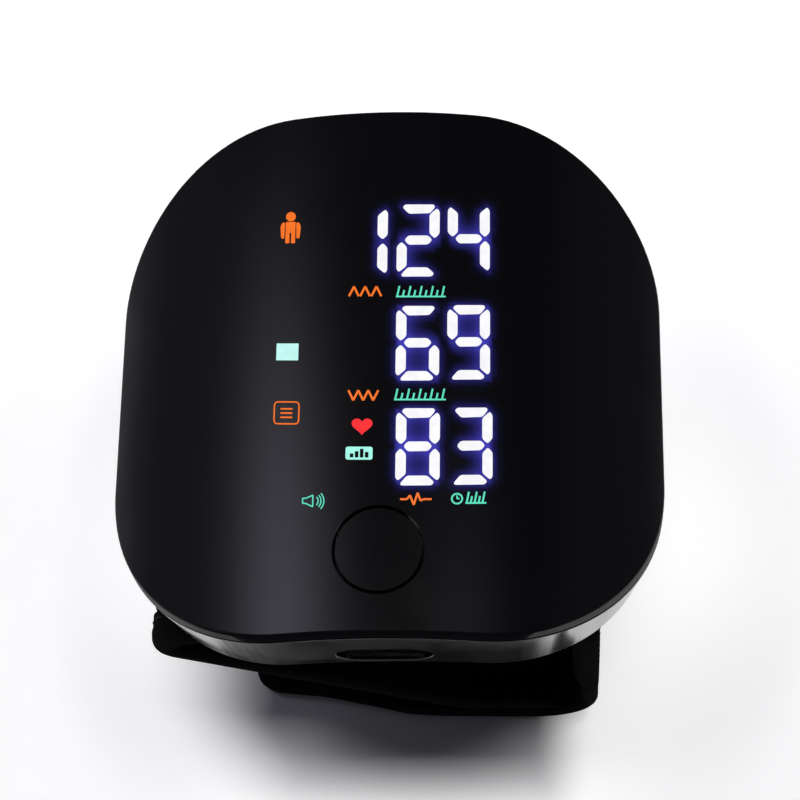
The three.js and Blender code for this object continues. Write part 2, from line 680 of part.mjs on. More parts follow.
const sensorNorth = sensorY + SENSOR.side / 2;
const sensor = box(
  [SENSOR.x - SENSOR.side / 2, SENSOR.x + SENSOR.side / 2],
  [sensorY - SENSOR.side / 2, sensorNorth],
  [underBoard - SENSOR.height, underBoard],
).add(barAlongY(SENSOR.x, portZ, barb, sensorY, sensorNorth + BARB_LENGTH));
add("pressure_sensor", sensor, DARK_CHIP);
const hoseBore = barb + GAP;
const sensorHose = barAlongY(
  SENSOR.x,
  portZ,
  hoseBore + HOSE_WALL,
  sensorNorth + GAP,
  manifoldSouth - GAP,
).subtract(barAlongY(SENSOR.x, portZ, hoseBore, -CASE_SIDE, CASE_SIDE));
add("air_hose_sensor", sensorHose, SILICONE);

// Pump: the motor's radius is what the channel between deck and floor leaves
function channel(x) {
  const toDeck = (z) => faceRadius - deckUnder - Math.hypot(x, z - faceAxisZ);
  const toFloor = (z) => Math.hypot(x, z - backAxisZ) - backRadius - BACK_THICK;
  let [low, high] = [backAxisZ, STAND_HEIGHT];
  for (let i = 0; i < HALVINGS; i++) {
    const middle = (low + high) / 2;
    if (toDeck(middle) > toFloor(middle)) low = middle;
    else high = middle;
  }
  return { z: low, radius: toDeck(low) - CHANNEL_GAP };
}
const { z: channelZ, radius: drumRadius } = channel(channelX);
const pumpX = channelX;
const headRear = pumpFront + PUMP_HEAD_LENGTH;
const diaphragmFront = headRear + GAP;
const chamberFront = diaphragmFront + DIAPHRAGM_THICK + GAP;
const chamberRear = chamberFront + CHAMBER_LENGTH;
const canFront = chamberRear + GAP;
const canRear = canFront + MOTOR_LENGTH;
const capFront = canRear + GAP;
const capRear = capFront + MOTOR_CAP_LENGTH;
const shaft = SHAFT_DIAMETER / 2;
const shaftHole = shaft + GAP;
const boreRadius = drumRadius - CAN_WALL;
const pumpHead = barAlongY(pumpX, channelZ, drumRadius, pumpFront, headRear, ROUND).add(
  barAlongY(pumpX, channelZ, barb, pumpFront - BARB_LENGTH, headRear),
);
add("pump_head", pumpHead, DARK_CHIP);
const diaphragm = barAlongY(
  pumpX,
  channelZ,
  drumRadius,
  diaphragmFront,
  diaphragmFront + DIAPHRAGM_THICK,
  ROUND,
);
add("pump_diaphragm", diaphragm, SILICONE);
const chamberBore = CRANK.radius + CRANK.offset + GAP;
const chamber = turned(
  [
    [chamberBore, chamberFront],
    [drumRadius, chamberFront],
    [drumRadius, chamberRear],
    [chamberBore, chamberRear],
  ],
  pumpX,
  channelZ,
);
add("pump_chamber", chamber, WHITE_PLASTIC);
const can = turned(
  [
    [shaftHole, canFront],
    [drumRadius, canFront],
    [drumRadius, canRear],
    [boreRadius, canRear],
    [boreRadius, canFront + CAN_END],
    [shaftHole, canFront + CAN_END],
  ],
  pumpX,
  channelZ,
);
add("pump_motor_can", can, STEEL);
const cap = barAlongY(pumpX, channelZ, drumRadius, capFront, capRear, ROUND).subtract(
  barAlongY(pumpX, channelZ, shaftHole, capFront - 1, capFront + MOTOR_BEARING_DEPTH),
);
add("pump_motor_cap", cap, DARK_CHIP);
const armatureRadius = boreRadius - ARMATURE_GAP;
const crankRear = canFront - GAP * 2;
const shaftEnd = capFront + MOTOR_BEARING_DEPTH - GAP;
const rotor = barAlongY(pumpX, channelZ, shaft, crankRear - CRANK.length, shaftEnd)
  .add(
    barAlongY(
      pumpX,
      channelZ,
      armatureRadius,
      canFront + CAN_END + ARMATURE_GAP,
      canRear - ARMATURE_GAP,
      ROUND,
    ),
  )
  .add(barAlongY(pumpX + CRANK.offset, channelZ, CRANK.radius, crankRear - CRANK.length, crankRear, ROUND));
add("pump_rotor", rotor, COPPER);
const pumpHose = hose([
  [pumpX, pumpFront - GAP, channelZ],
  [pumpX, pumpFront - BARB_LENGTH, channelZ],
  [pumpX - 2.4, pumpFront - BARB_LENGTH - 2.6, (channelZ + portZ) / 2],
  [manifoldEast + BARB_LENGTH + 2.2, manifoldY - 0.8, portZ - 0.4],
  [manifoldEast + BARB_LENGTH, manifoldY, portZ],
  [manifoldEast + GAP, manifoldY, portZ],
]);
add("air_hose_pump", pumpHose, SILICONE);

// Valve: a coil in a steel cup, a plunger that slides in it, its spring, and a cap with the seat
const valveX = -channelX;
const valveCapRear = valveFront + VALVE_CAP_LENGTH;
const cupFront = valveCapRear + GAP;
const cupRear = cupFront + VALVE_LENGTH;
const cupBore = drumRadius - VALVE_WALL;
const valveCap = barAlongY(valveX, channelZ, drumRadius, valveFront, valveCapRear, ROUND).add(
  barAlongY(valveX, channelZ, barb, valveFront - BARB_LENGTH, valveCapRear),
);
add("valve_cap", valveCap, WHITE_PLASTIC);
const cup = turned(
  [
    [0, cupRear],
    [drumRadius, cupRear],
    [drumRadius, cupFront],
    [cupBore, cupFront],
    [cupBore, cupRear - VALVE_WALL],
    [0, cupRear - VALVE_WALL],
  ],
  valveX,
  channelZ,
);
add("valve_cup", cup, STEEL);
const plunger = PLUNGER_DIAMETER / 2;
const coilFront = cupFront + GAP;
const coilRear = coilFront + COIL_LENGTH;
const coil = turned(
  [
    [plunger + GAP, coilFront],
    [cupBore - GAP, coilFront],
    [cupBore - GAP, coilRear],
    [plunger + GAP, coilRear],
  ],
  valveX,
  channelZ,
);
add("valve_coil", coil, COPPER);
const plungerRear = cupFront + PLUNGER_LENGTH;
add("valve_plunger", barAlongY(valveX, channelZ, plunger, cupFront, plungerRear), STEEL);
const springFront = plungerRear + PLUNGER_TRAVEL + GAP / 2 + SPRING.wire;
const springRear = cupRear - VALVE_WALL - GAP - SPRING.wire;
const springPoints = [];
const springSteps = SPRING.turns * SPRING_STEPS;
for (let i = 0; i <= springSteps; i++) {
  const angle = (i / SPRING_STEPS) * 2 * Math.PI;
  springPoints.push([
    valveX + SPRING.radius * Math.cos(angle),
    springFront + (i / springSteps) * (springRear - springFront),
    channelZ + SPRING.radius * Math.sin(angle),
  ]);
}
const wireSection = new THREE.Shape();
for (let i = 0; i < WIRE_SIDES; i++) {
  const angle = (i / WIRE_SIDES) * 2 * Math.PI;
  const corner = [SPRING.wire * Math.cos(angle), SPRING.wire * Math.sin(angle)];
  if (i === 0) wireSection.moveTo(...corner);
  else wireSection.lineTo(...corner);
}
add("valve_spring", drawnAlong(springPoints, wireSection, springSteps), STEEL);
const valveHose = hose([
  [valveX, valveFront - GAP, channelZ],
  [valveX, valveFront - BARB_LENGTH, channelZ],
  [valveX + 3.2, valveFront - BARB_LENGTH - 4.3, channelZ + 0.6],
  [valveX + 9.6, manifoldY + 0.8, (channelZ + portZ) / 2 + 0.6],
  [manifoldWest - BARB_LENGTH - 7, manifoldY, portZ],
  [manifoldWest - BARB_LENGTH, manifoldY, portZ],
  [manifoldWest - GAP, manifoldY, portZ],
]);
add("air_hose_valve", valveHose, SILICONE);

// Battery on the floor, held down by a foam pad under the board
const batteryLow = floorZ(0) + GAP;
const batteryTop = batteryLow + BATTERY.thick;
const batteryOutline = roundedRectangle(batteryHalf, batteryNear, batteryFar, BATTERY.corner);
add("battery_cell", prism(batteryOutline, batteryLow, batteryTop), SILVER_FOIL);
const padFar = batteryFar - PAD.inset;
const pad = box(
  [-PAD.halfWidth, PAD.halfWidth],
  [padFar - PAD.length, padFar],
  [batteryTop + GAP, underBoard],
);
add("battery_pad", pad, FOAM);

// Speaker, leaning with the floor
const speakerLean = Math.asin(speakerX / (backRadius + BACK_THICK));
function onFloor(profile) {
  const points = profile.map(([radius, height]) => new THREE.Vector2(radius, height));
  points.push(points[0].clone());
  const shape = new THREE.LatheGeometry(points, ROUND);
  shape.rotateX(Math.PI / 2);
  shape.rotateY(speakerLean);
  const reach = backRadius + BACK_THICK + GAP;
  shape.translate(reach * Math.sin(speakerLean), speakerY, backAxisZ + reach * Math.cos(speakerLean));
  return solid(shape);
}
const coneLow = SPEAKER.height - SPEAKER_CONE.recess;
add(
  "speaker_frame",
  onFloor([
    [0, 0],
    [SPEAKER.radius, 0],
    [SPEAKER.radius, SPEAKER.height],
    [SPEAKER.radius - SPEAKER.rim, SPEAKER.height],
    [SPEAKER.radius - SPEAKER.rim, coneLow],
    [0, coneLow],
  ]),
  DARK_CHIP,
);
const coneEdge = SPEAKER.radius - SPEAKER.rim - GAP;
add(
  "speaker_cone",
  onFloor([
    [0, coneLow + GAP],
    [SPEAKER_CONE.dome, coneLow + GAP],
    [coneEdge, coneLow + GAP * 2],
    [coneEdge, coneLow + GAP * 2 + SPEAKER_CONE.thick / 2],
    [0, coneLow + GAP + SPEAKER_CONE.thick],
  ]),
  SILVER_FOIL,
);

// Leads from battery, pump, valve and speaker to the board
const leadTop = underBoard;
const batteryLeadY = batteryNear - GAP - LEAD.width / 2;
add(
  "battery_lead",
  lead([
    [BATTERY_LEAD_X, batteryLeadY, batteryLow + LEAD.width],
    [BATTERY_LEAD_X, batteryLeadY, batteryTop],
    [BATTERY_LEAD_X, batteryLeadY - LEAD.width / 2, (batteryTop + leadTop) / 2],
    [BATTERY_LEAD_X, batteryLeadY - LEAD.width / 2, leadTop],
  ]),
  LEAD_RED,
);
const leadRun = boardHalf - LEAD.landing;
function sideLead(x, y, z) {
  const side = Math.sign(x);
  const landingY = Math.min(y + LEAD.slack, boardFar - LEAD.width);
  return lead([
    [x, y, z],
    [x - side * LEAD.slack, (y + landingY) / 2, z + LEAD.width],
    [(x + side * leadRun) / 2, landingY, (z + leadTop) / 2],
    [side * (leadRun + LEAD.slack), landingY, leadTop - LEAD.width],
    [side * leadRun, landingY, leadTop - LEAD.width / 2],
  ]);
}
add("pump_lead", sideLead(pumpX - LEAD.width, capRear + GAP + LEAD.thick, channelZ + LEAD.width), LEAD_RED);
add("valve_lead", sideLead(valveX + LEAD.width, cupRear + GAP + LEAD.thick, channelZ + LEAD.width), LEAD_RED);
const speakerEdgeX = speakerX + SPEAKER.radius + 2 * GAP + LEAD.thick / 2;
const speakerLeadY = speakerY + SPEAKER_LEAD_SHIFT;
add(
  "speaker_lead",
  lead([
    [speakerEdgeX, speakerLeadY, floorZ(speakerEdgeX) + LEAD.width],
    [speakerEdgeX, speakerLeadY, floorZ(speakerEdgeX) + SPEAKER.height],
    [-leadRun - LEAD.width / 2, speakerLeadY, leadTop - SPEAKER.height],
    [-leadRun, speakerLeadY, leadTop],
  ]),
  LEAD_RED,
);

// Cuff path: left turns only, from the flap's end along the table, up the right arm, over the top
// under the case, around the left fold and down the sloping tail. The wrist lies on its left.
const topRadius = backRadius - 2 * GAP - PLATE_THICK;
const shoulderX = ARM_X - SHOULDER_RADIUS;
const shoulderReach = topRadius - SHOULDER_RADIUS;
const shoulderZ = backAxisZ + Math.sqrt(shoulderReach ** 2 - shoulderX ** 2);
const shoulderTurn = Math.PI / 2 - Math.asin(shoulderX / shoulderReach);
const foldReach = topRadius - FOLD_RADIUS;
const foldLean = Math.asin((FOLD_X - FOLD_RADIUS) / foldReach);
const topTurn = Math.PI / 2 - shoulderTurn + foldLean;
const foldZ = backAxisZ + foldReach * Math.cos(foldLean);
const foldX = FOLD_RADIUS - FOLD_X;
const cuffThick = COVER_THICK + FILLING_THICK + LINING_THICK + 2 * GAP;
const tailZ = FLAP_THICK + HOOK_THICK + LOOP_THICK + 3 * GAP;
const tailBendX = ARM_X - cuffThick - TAIL_ARM_GAP - TAIL_FLAT;
const tailAcross = tailBendX - foldX;
const tailDrop = foldZ - tailZ - TAIL_RADIUS;
const tailReach = Math.hypot(tailAcross, tailDrop);
const tailSlope = Math.atan2(tailDrop, tailAcross) + Math.asin((TAIL_RADIUS - FOLD_RADIUS) / tailReach);
const foldTurn = Math.PI - foldLean - tailSlope;
const slopeRun = Math.sqrt(tailReach ** 2 - (TAIL_RADIUS - FOLD_RADIUS) ** 2);
const flapRun = ARM_X - FLAP_CORNER_RADIUS - FLAP_END_X;
const hingeAt = flapRun + (FLAP_CORNER_RADIUS * Math.PI) / 2 + HINGE_HEIGHT - FLAP_CORNER_RADIUS;
const cuffSteps = [
  { run: flapRun },
  { radius: FLAP_CORNER_RADIUS, turn: Math.PI / 2 },
  { run: shoulderZ - FLAP_CORNER_RADIUS },
  { radius: SHOULDER_RADIUS, turn: shoulderTurn },
  { radius: topRadius, turn: topTurn },
  { radius: FOLD_RADIUS, turn: foldTurn },
  { run: slopeRun },
  { radius: TAIL_RADIUS, turn: tailSlope },
  { run: TAIL_FLAT },
];
const cuffLength = cuffSteps.reduce((sum, s) => sum + (s.run ?? s.radius * s.turn), 0);

// How far one step of the path goes, and how much it turns, after a length along it.
function cuffAdvance(step, heading, gone) {
  if (step.run) return { x: gone * Math.cos(heading), z: gone * Math.sin(heading), turn: 0 };
  const turn = gone / step.radius;
  return {
    x: step.radius * (Math.sin(heading + turn) - Math.sin(heading)),
    z: step.radius * (Math.cos(heading) - Math.cos(heading + turn)),
    turn,
  };
}

// Points of the path between two lengths along it, moved in towards the wrist.
function cuffLine(from, to, inset) {
  const points = [];
  let [x, z, heading, along] = [FLAP_END_X, 0, 0, 0];
  for (const step of cuffSteps) {
    const length = step.run ?? step.radius * step.turn;
    const turns = Math.ceil((step.turn ?? 0) / (CUFF_TURN_STEP * DEG));
    const pieces = step.run ? 1 : Math.max(turns, Math.ceil(length / CUFF_LENGTH_STEP));
    const low = Math.max(from, along);
    const high = Math.min(to, along + length);
    for (let i = 0; low < high && i <= pieces; i++) {
      const gone = low + ((high - low) * i) / pieces - along;
      const moved = cuffAdvance(step, heading, gone);
      const aim = heading + moved.turn;
      const point = new THREE.Vector2(
        x + moved.x - inset * Math.sin(aim),
        z + moved.z + inset * Math.cos(aim),
      );
      const last = points[points.length - 1];
      if (!last || last.distanceTo(point) > LEAST_STEP) points.push(point);
    }
    const whole = cuffAdvance(step, heading, length);
    x += whole.x;
    z += whole.z;
    heading += whole.turn;
    along += length;
  }
  return points;
}
function cuffLayer(from, to, outer, inner, low, high) {
  const outside = cuffLine(from, to, outer);
  const inside = cuffLine(from, to, inner).reverse();
  return strip([...outside, ...inside], low, high);
}
const halfCuff = CUFF_WIDTH / 2;
const loopStart = hingeAt + GAP / 2;
const fillingOuter = COVER_THICK + GAP;
const fillingInner = fillingOuter + FILLING_THICK;
const liningOuter = fillingInner + GAP;
const airHole = post(MANIFOLD.x, manifoldY, nippleHole, foldZ, STAND_HEIGHT);
const cover = cuffLayer(loopStart, cuffLength, 0, COVER_THICK, -halfCuff, halfCuff).subtract(airHole);
add("cuff_cover", cover, FABRIC);
const bladderHalf = halfCuff - BINDING_WIDTH - GAP;
const bladder = cuffLayer(
  loopStart + BLADDER_START,
  cuffLength - BLADDER_STOP,
  fillingOuter,
  fillingInner,
  -bladderHalf,
  bladderHalf,
).subtract(airHole);
add("cuff_bladder", bladder, BLADDER_FILM);
const bindingInner = halfCuff - BINDING_WIDTH;
add(
  "cuff_binding_near",
  cuffLayer(loopStart, cuffLength, fillingOuter, fillingInner, -halfCuff, -bindingInner),
  FABRIC,
);
add(
  "cuff_binding_far",
  cuffLayer(loopStart, cuffLength, fillingOuter, fillingInner, bindingInner, halfCuff),
  FABRIC,
);
add(
  "cuff_lining",
  cuffLayer(loopStart, cuffLength, liningOuter, cuffThick, -halfCuff, halfCuff),
  FABRIC,
);
const halfPatch = PATCH_WIDTH / 2;
const loopPatch = cuffLayer(
  cuffLength - LOOP_LENGTH,
  cuffLength,
  -GAP - LOOP_THICK,
  -GAP,
  -halfPatch,
  halfPatch,
);
add("cuff_loop_patch", loopPatch, FABRIC);

// Flap: full width at the arm, narrowing to a rounded end
const halfEnd = FLAP_END_WIDTH / 2;
const flapPlan = [];
for (const side of [-1, 1]) {
  const corner = [];
  for (let i = 0; i <= SMALL_CORNER_STEPS; i++) {
    const angle = (i / SMALL_CORNER_STEPS) * (Math.PI / 2);
    corner.push(
      new THREE.Vector2(
        FLAP_END_X + FLAP_END_CORNER * (1 - Math.sin(angle)),
        side * (halfEnd - FLAP_END_CORNER * (1 - Math.cos(angle))),
      ),
    );
  }
  const edge = [
    new THREE.Vector2(FAR, side * halfCuff),
    new THREE.Vector2(FLAP_TAPER_X, side * halfCuff),
    ...corner,
  ];
  flapPlan.push(...(side < 0 ? edge : edge.reverse()));
}
const flap = cuffLayer(0, hingeAt - GAP / 2, 0, FLAP_THICK, -halfCuff, halfCuff).intersect(
  prism(flapPlan, -1, STAND_HEIGHT),
);
add("cuff_flap", flap, FABRIC);
const hookPatch = cuffLayer(
  HOOK_START,
  HOOK_START + HOOK_LENGTH,
  FLAP_THICK + GAP,
  FLAP_THICK + GAP + HOOK_THICK,
  -halfPatch,
  halfPatch,
);
add("cuff_hook_patch", hookPatch, FABRIC);

// Plate that carries the cuff under the back cover, with legs that snap through its slots
const plateHalf = legX + PLATE_MARGIN;
const plateOutline = roundedRectangle(plateHalf, -PLATE_HALF_LENGTH, PLATE_HALF_LENGTH, PLATE_CORNER);
let plate = prism(plateOutline, 0, STAND_HEIGHT)
  .intersect(underBack(-GAP))
  .subtract(underBack(-GAP - PLATE_THICK))
  .subtract(airHole);
for (const side of [-1, 1]) {
  for (const y of legYs) {
    const ys = [y - PLATE_LEG.width / 2, y + PLATE_LEG.width / 2];
    const legXs = [side * legInner, side * legOuter].sort((a, b) => a - b);
    const hookXs = [side * legInner, side * (legOuter + HOLE_GAP + PLATE_LEG.hook)].sort((a, b) => a - b);
    const foot = backZ(legOuter, -GAP - PLATE_THICK / 2);
    const hookLow = floorZ(legInner) + GAP;
    plate = plate
      .add(box(legXs, ys, [foot, hookLow + PLATE_LEG.hookHeight]))
      .add(box(hookXs, ys, [hookLow, hookLow + PLATE_LEG.hookHeight]));
  }
}
add("cuff_plate", plate, SATIN_BLACK);

// Nipple from the manifold through the back cover and the plate into the bladder, and its seal
const nippleLow = backAxisZ + Math.sqrt((topRadius - fillingInner) ** 2 - MANIFOLD.x ** 2) + GAP;
const nipple = post(MANIFOLD.x, manifoldY, NIPPLE_DIAMETER / 2, nippleLow, nippleTop).subtract(
  post(MANIFOLD.x, manifoldY, NIPPLE_BORE / 2, 0, STAND_HEIGHT),
);
add("cuff_nipple", nipple, WHITE_PLASTIC);
const sealBore = NIPPLE_DIAMETER / 2 + GAP;
const seal = post(MANIFOLD.x, manifoldY, sealBore + SEAL_WALL, sealLow, sealLow + SEAL_THICK).subtract(
  post(MANIFOLD.x, manifoldY, sealBore, 0, STAND_HEIGHT),
);
add("nipple_seal", seal, SILICONE);

export default part;
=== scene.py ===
# %% [markdown]
# # A wrist blood pressure monitor
# The real thing is a black plastic case with a smoked, curved face, and it stands on its own soft cuff.
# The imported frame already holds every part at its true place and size. This lesson dresses the parts
# that can be seen, gives the hidden ones a fitting finish, and lights them as on a studio table.

# %% Load the frame
import json
import math
import random

import bpy
import numpy as np
from mathutils import Matrix, Vector
from mathutils.geometry import delaunay_2d_cdt


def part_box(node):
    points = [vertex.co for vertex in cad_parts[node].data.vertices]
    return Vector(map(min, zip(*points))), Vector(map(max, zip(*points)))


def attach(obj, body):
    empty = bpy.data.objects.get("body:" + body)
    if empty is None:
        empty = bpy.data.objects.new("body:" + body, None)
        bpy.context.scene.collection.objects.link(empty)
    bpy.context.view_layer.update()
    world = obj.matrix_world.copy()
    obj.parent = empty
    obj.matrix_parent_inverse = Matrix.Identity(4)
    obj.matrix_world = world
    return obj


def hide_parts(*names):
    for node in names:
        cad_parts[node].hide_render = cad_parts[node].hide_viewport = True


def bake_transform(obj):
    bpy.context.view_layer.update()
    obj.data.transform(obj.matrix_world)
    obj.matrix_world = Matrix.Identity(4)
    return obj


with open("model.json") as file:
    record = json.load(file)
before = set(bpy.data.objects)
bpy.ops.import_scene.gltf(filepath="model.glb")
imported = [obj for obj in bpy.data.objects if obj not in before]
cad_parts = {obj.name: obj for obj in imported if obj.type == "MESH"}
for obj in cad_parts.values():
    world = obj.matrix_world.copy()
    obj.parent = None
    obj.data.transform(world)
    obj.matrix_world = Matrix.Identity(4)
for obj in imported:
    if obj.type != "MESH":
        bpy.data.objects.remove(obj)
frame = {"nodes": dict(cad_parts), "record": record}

MM = 0.001
scene = bpy.context.scene
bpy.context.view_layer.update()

# %% [markdown]
# ## Camera
# A product camera with a long lens looks down on the face from the near side. Its place and direction
# were worked out from the outline of the face, the button and the lower edge of the wall, so the three
# directions of the view are simply written down here and made into a matrix.

# %% Camera
VIEW_RIGHT = Vector((0.99764, 0.01303, -0.06743))
VIEW_UP = Vector((0.01368, 0.92448, 0.38098))
VIEW_BACK = Vector((0.0673, -0.381, 0.92212))
CAMERA_PLACE = Vector((22.19, -117.6, 336.2)) * MM
SENSOR_MM, LENS_MM, NEAREST_SEEN = 36.0, 111.28, 0.01


def turned_to(right, up, back):
    """A turn that lays an object's own axes along three directions."""
    return Matrix((right, up, back)).transposed().to_4x4()


camera_data = bpy.data.cameras.new("studio_camera")
camera_data.sensor_width = SENSOR_MM
camera_data.lens = LENS_MM
camera_data.clip_start = NEAREST_SEEN
camera = bpy.data.objects.new("studio_camera", camera_data)
scene.collection.objects.link(camera)
camera.matrix_world = Matrix.Translation(CAMERA_PLACE) @ turned_to(VIEW_RIGHT, VIEW_UP, VIEW_BACK)
scene.camera = camera
print("camera looks along", [round(-c, 3) for c in VIEW_BACK])

# %% [markdown]
# ## Light
# A black, glossy face is drawn by what it mirrors. One long softbox hangs almost straight above, just out
# of what the face mirrors to this camera. It lights the table and leaves a soft shadow on the near side.

# %% Softbox
AIM = Vector((0, 0, 0.03))


def softbox(name, lean, ahead, distance, width, length, watts):
    """A flat lamp over the object: lean is its tilt to the right (degrees), ahead its way to the far side."""
    data = bpy.data.lights.new(name, "AREA")
    data.shape = "RECTANGLE"
    data.size, data.size_y = width, length
    data.energy = watts
    lamp = bpy.data.objects.new(name, data)
    scene.collection.objects.link(lamp)
    lean = math.radians(lean)
    out = Vector((math.sin(lean), ahead, math.cos(lean))).normalized()
    across = Vector((0, 1, 0)).cross(out).normalized()
    lamp.matrix_world = Matrix.Translation(AIM + out * distance) @ turned_to(across, out.cross(across), out)


softbox("overhead_strip", lean=-1.5, ahead=0.025, distance=1.0, width=0.70, length=0.18, watts=8.9)

# %% [markdown]
# ## Nodes in code
# Materials, shared effects and the room are all trees of nodes. A few helpers make a node with its settings,
# spread a value over a range and do sums, so that what follows reads as a list of what a surface does.

# %% Helpers for node trees
FLOAT, COLOUR = "NodeSocketFloat", "NodeSocketColor"


def effect(name, inputs, outputs):
    """An empty node group with named sockets; gives back the group, what it takes and what it gives."""
    group = bpy.data.node_groups.new(name, "ShaderNodeTree")
    for socket, kind, value in inputs:
        made = group.interface.new_socket(socket, in_out="INPUT", socket_type=kind)
        made.default_value = value
    for socket, kind in outputs:
        group.interface.new_socket(socket, in_out="OUTPUT", socket_type=kind)
    return group, group.nodes.new("NodeGroupInput").outputs, group.nodes.new("NodeGroupOutput").inputs


def node(tree, kind, **settings):
    """A node with its settings; a setting that names an input sets that input's value."""
    made = tree.nodes.new(kind)
    for key, value in settings.items():
        if hasattr(made, key):
            setattr(made, key, value)
        else:
            made.inputs[key.replace("_", " ")].default_value = value
    return made


def ramp(tree, source, low, high, dark=0.0, light=1.0):
    """Spreads a value between low and high over dark to light."""
    made = node(tree, "ShaderNodeMapRange", clamp=True, interpolation_type="SMOOTHSTEP")
    for socket, value in zip(("From Min", "From Max", "To Min", "To Max"), (low, high, dark, light)):
        made.inputs[socket].default_value = value
    tree.links.new(source, made.inputs["Value"])
    return made.outputs["Result"]


def math_node(tree, operation, *values):
    """A sum; each value is a number or another node's output."""
    made = node(tree, "ShaderNodeMath", operation=operation)
    for socket, value in zip(made.inputs, values):
        if isinstance(value, (int, float)):
            socket.default_value = value
        else:
            tree.links.new(value, socket)
    return made.outputs[0]


def total(tree, first, *others):
    """Several values added up."""
    for other in others:
        first = math_node(tree, "ADD", first, other)
    return first


def object_place(tree):
    """Coordinates that stay with the object."""
    return node(tree, "ShaderNodeTexCoord").outputs["Object"]


def texture(tree, kind, place, **settings):
    """A texture node, laid out over the given coordinates."""
    made = node(tree, kind, **settings)
    tree.links.new(place, made.inputs["Vector"])
    return made


# %% [markdown]
# ## The room
# The room is dark, with a soft upright glow on the left, such as a white wall gives, a faint one on the
# right, two side walls and a horizon that are slightly paler than the rest. It could be built from panels,
# but a smooth glow has no edges to mirror, so it is written straight into the world: bell curves over the
# lean to the left and right, faded front to back, and plain ramps for the walls and the horizon.

# %% Room
GLOW_SLANT = 0.6
NEAR_FADE = (0.08, 0.24)
ROOM_TINT = (1.0, 0.97, 1.18, 1)
world = bpy.data.worlds.new("dark_room")
world.use_nodes = True
scene.world = world
scene.view_settings.view_transform = "Standard"
room = world.node_tree
room_ways = node(room, "ShaderNodeSeparateXYZ")
room.links.new(node(room, "ShaderNodeTexCoord").outputs["Generated"], room_ways.inputs[0])
room_x, room_y, room_z = room_ways.outputs
room_lean = math_node(room, "ARCTAN2", room_x, room_z)


def upright_glow(centre, width, strength, far_end, far_start):
    """A bell-shaped glow over the lean angle (degrees), slanting a little, gone beyond far_end."""
    slant = math_node(room, "MULTIPLY", math_node(room, "SUBTRACT", room_y, far_start), GLOW_SLANT)
    turned = total(room, math_node(room, "SUBTRACT", room_lean, math.radians(centre)), slant)
    off = math_node(room, "DIVIDE", turned, math.radians(width))
    bell = math_node(room, "POWER", math.exp(-1), math_node(room, "MULTIPLY", off, off))
    far = ramp(room, room_y, far_end, far_start, 0, strength)
    near = ramp(room, room_y, *NEAR_FADE)
    return math_node(room, "MULTIPLY", bell, math_node(room, "MULTIPLY", far, near))


horizon = ramp(room, room_z, 0.22, 0.02, 0.025, 0.07)
left_wall = ramp(room, room_x, -0.60, -0.84, 0, 0.085)
right_wall = ramp(room, room_x, 0.60, 0.84, 0, 0.045)
left_glow = upright_glow(centre=-32.5, width=14.5, strength=1.22, far_end=0.50, far_start=0.28)
right_glow = upright_glow(centre=22, width=10, strength=0.17, far_end=0.38, far_start=0.29)
room_light = total(room, horizon, left_glow, right_glow, left_wall, right_wall)
room.links.new(room_light, room.nodes["Background"].inputs["Strength"])
room.nodes["Background"].inputs["Color"].default_value = ROOM_TINT
print("room:", len(room.nodes), "nodes")

# %% [markdown]
# ## Shared surface effects
# Real surfaces are never one even colour. The effects that several materials need are node groups, made
# once: a moulded grain, faint handling marks, wear on edges, a weave, and the unevenness of lit film.
# Each gives masks, heights or a colour; the shader itself stays in the material that uses them.

# %% Moulded grain, handling marks and edge wear
moulded_grain, taken, given = effect(
    "moulded grain", [("Scale", FLOAT, 900.0)], [("Height", FLOAT), ("Mask", FLOAT)]
)
place = object_place(moulded_grain)
fine = texture(moulded_grain, "ShaderNodeTexNoise", place, Detail=3.0, Roughness=0.6)
cells = texture(moulded_grain, "ShaderNodeTexVoronoi", place)
for pattern in (fine, cells):
    moulded_grain.links.new(taken["Scale"], pattern.inputs["Scale"])
height = math_node(moulded_grain, "MULTIPLY_ADD", cells.outputs["Distance"], 0.5, fine.outputs[0])
moulded_grain.links.new(height, given["Height"])
moulded_grain.links.new(ramp(moulded_grain, fine.outputs[0], 0.35, 0.65), given["Mask"])

handling_marks, taken, given = effect(
    "handling marks", [("Scale", FLOAT, 60.0)], [("Smudge", FLOAT), ("Dust", FLOAT)]
)
place = object_place(handling_marks)
cloud = texture(handling_marks, "ShaderNodeTexNoise", place, Detail=4.0, Roughness=0.55, Distortion=0.6)
specks = texture(handling_marks, "ShaderNodeTexVoronoi", place, Scale=1500.0, Randomness=1.0)
handling_marks.links.new(taken["Scale"], cloud.inputs["Scale"])
handling_marks.links.new(ramp(handling_marks, cloud.outputs[0], 0.38, 0.68), given["Smudge"])
speck = ramp(handling_marks, specks.outputs["Distance"], 0.07, 0.02)
patchy = ramp(handling_marks, cloud.outputs[0], 0.5, 0.7)
handling_marks.links.new(math_node(handling_marks, "MULTIPLY", speck, patchy), given["Dust"])

edge_wear, taken, given = effect("edge wear", [("Start", FLOAT, 0.53)], [("Mask", FLOAT)])
corner = node(edge_wear, "ShaderNodeNewGeometry").outputs["Pointiness"]
breakup = texture(edge_wear, "ShaderNodeTexNoise", object_place(edge_wear), Scale=700.0, Detail=3.0)
worn = ramp(edge_wear, math_node(edge_wear, "SUBTRACT", corner, taken["Start"]), 0.0, 0.06)
ragged = ramp(edge_wear, breakup.outputs[0], 0.35, 0.65)
edge_wear.links.new(math_node(edge_wear, "MULTIPLY", worn, ragged), given["Mask"])
print("effects:", [g.name for g in bpy.data.node_groups])

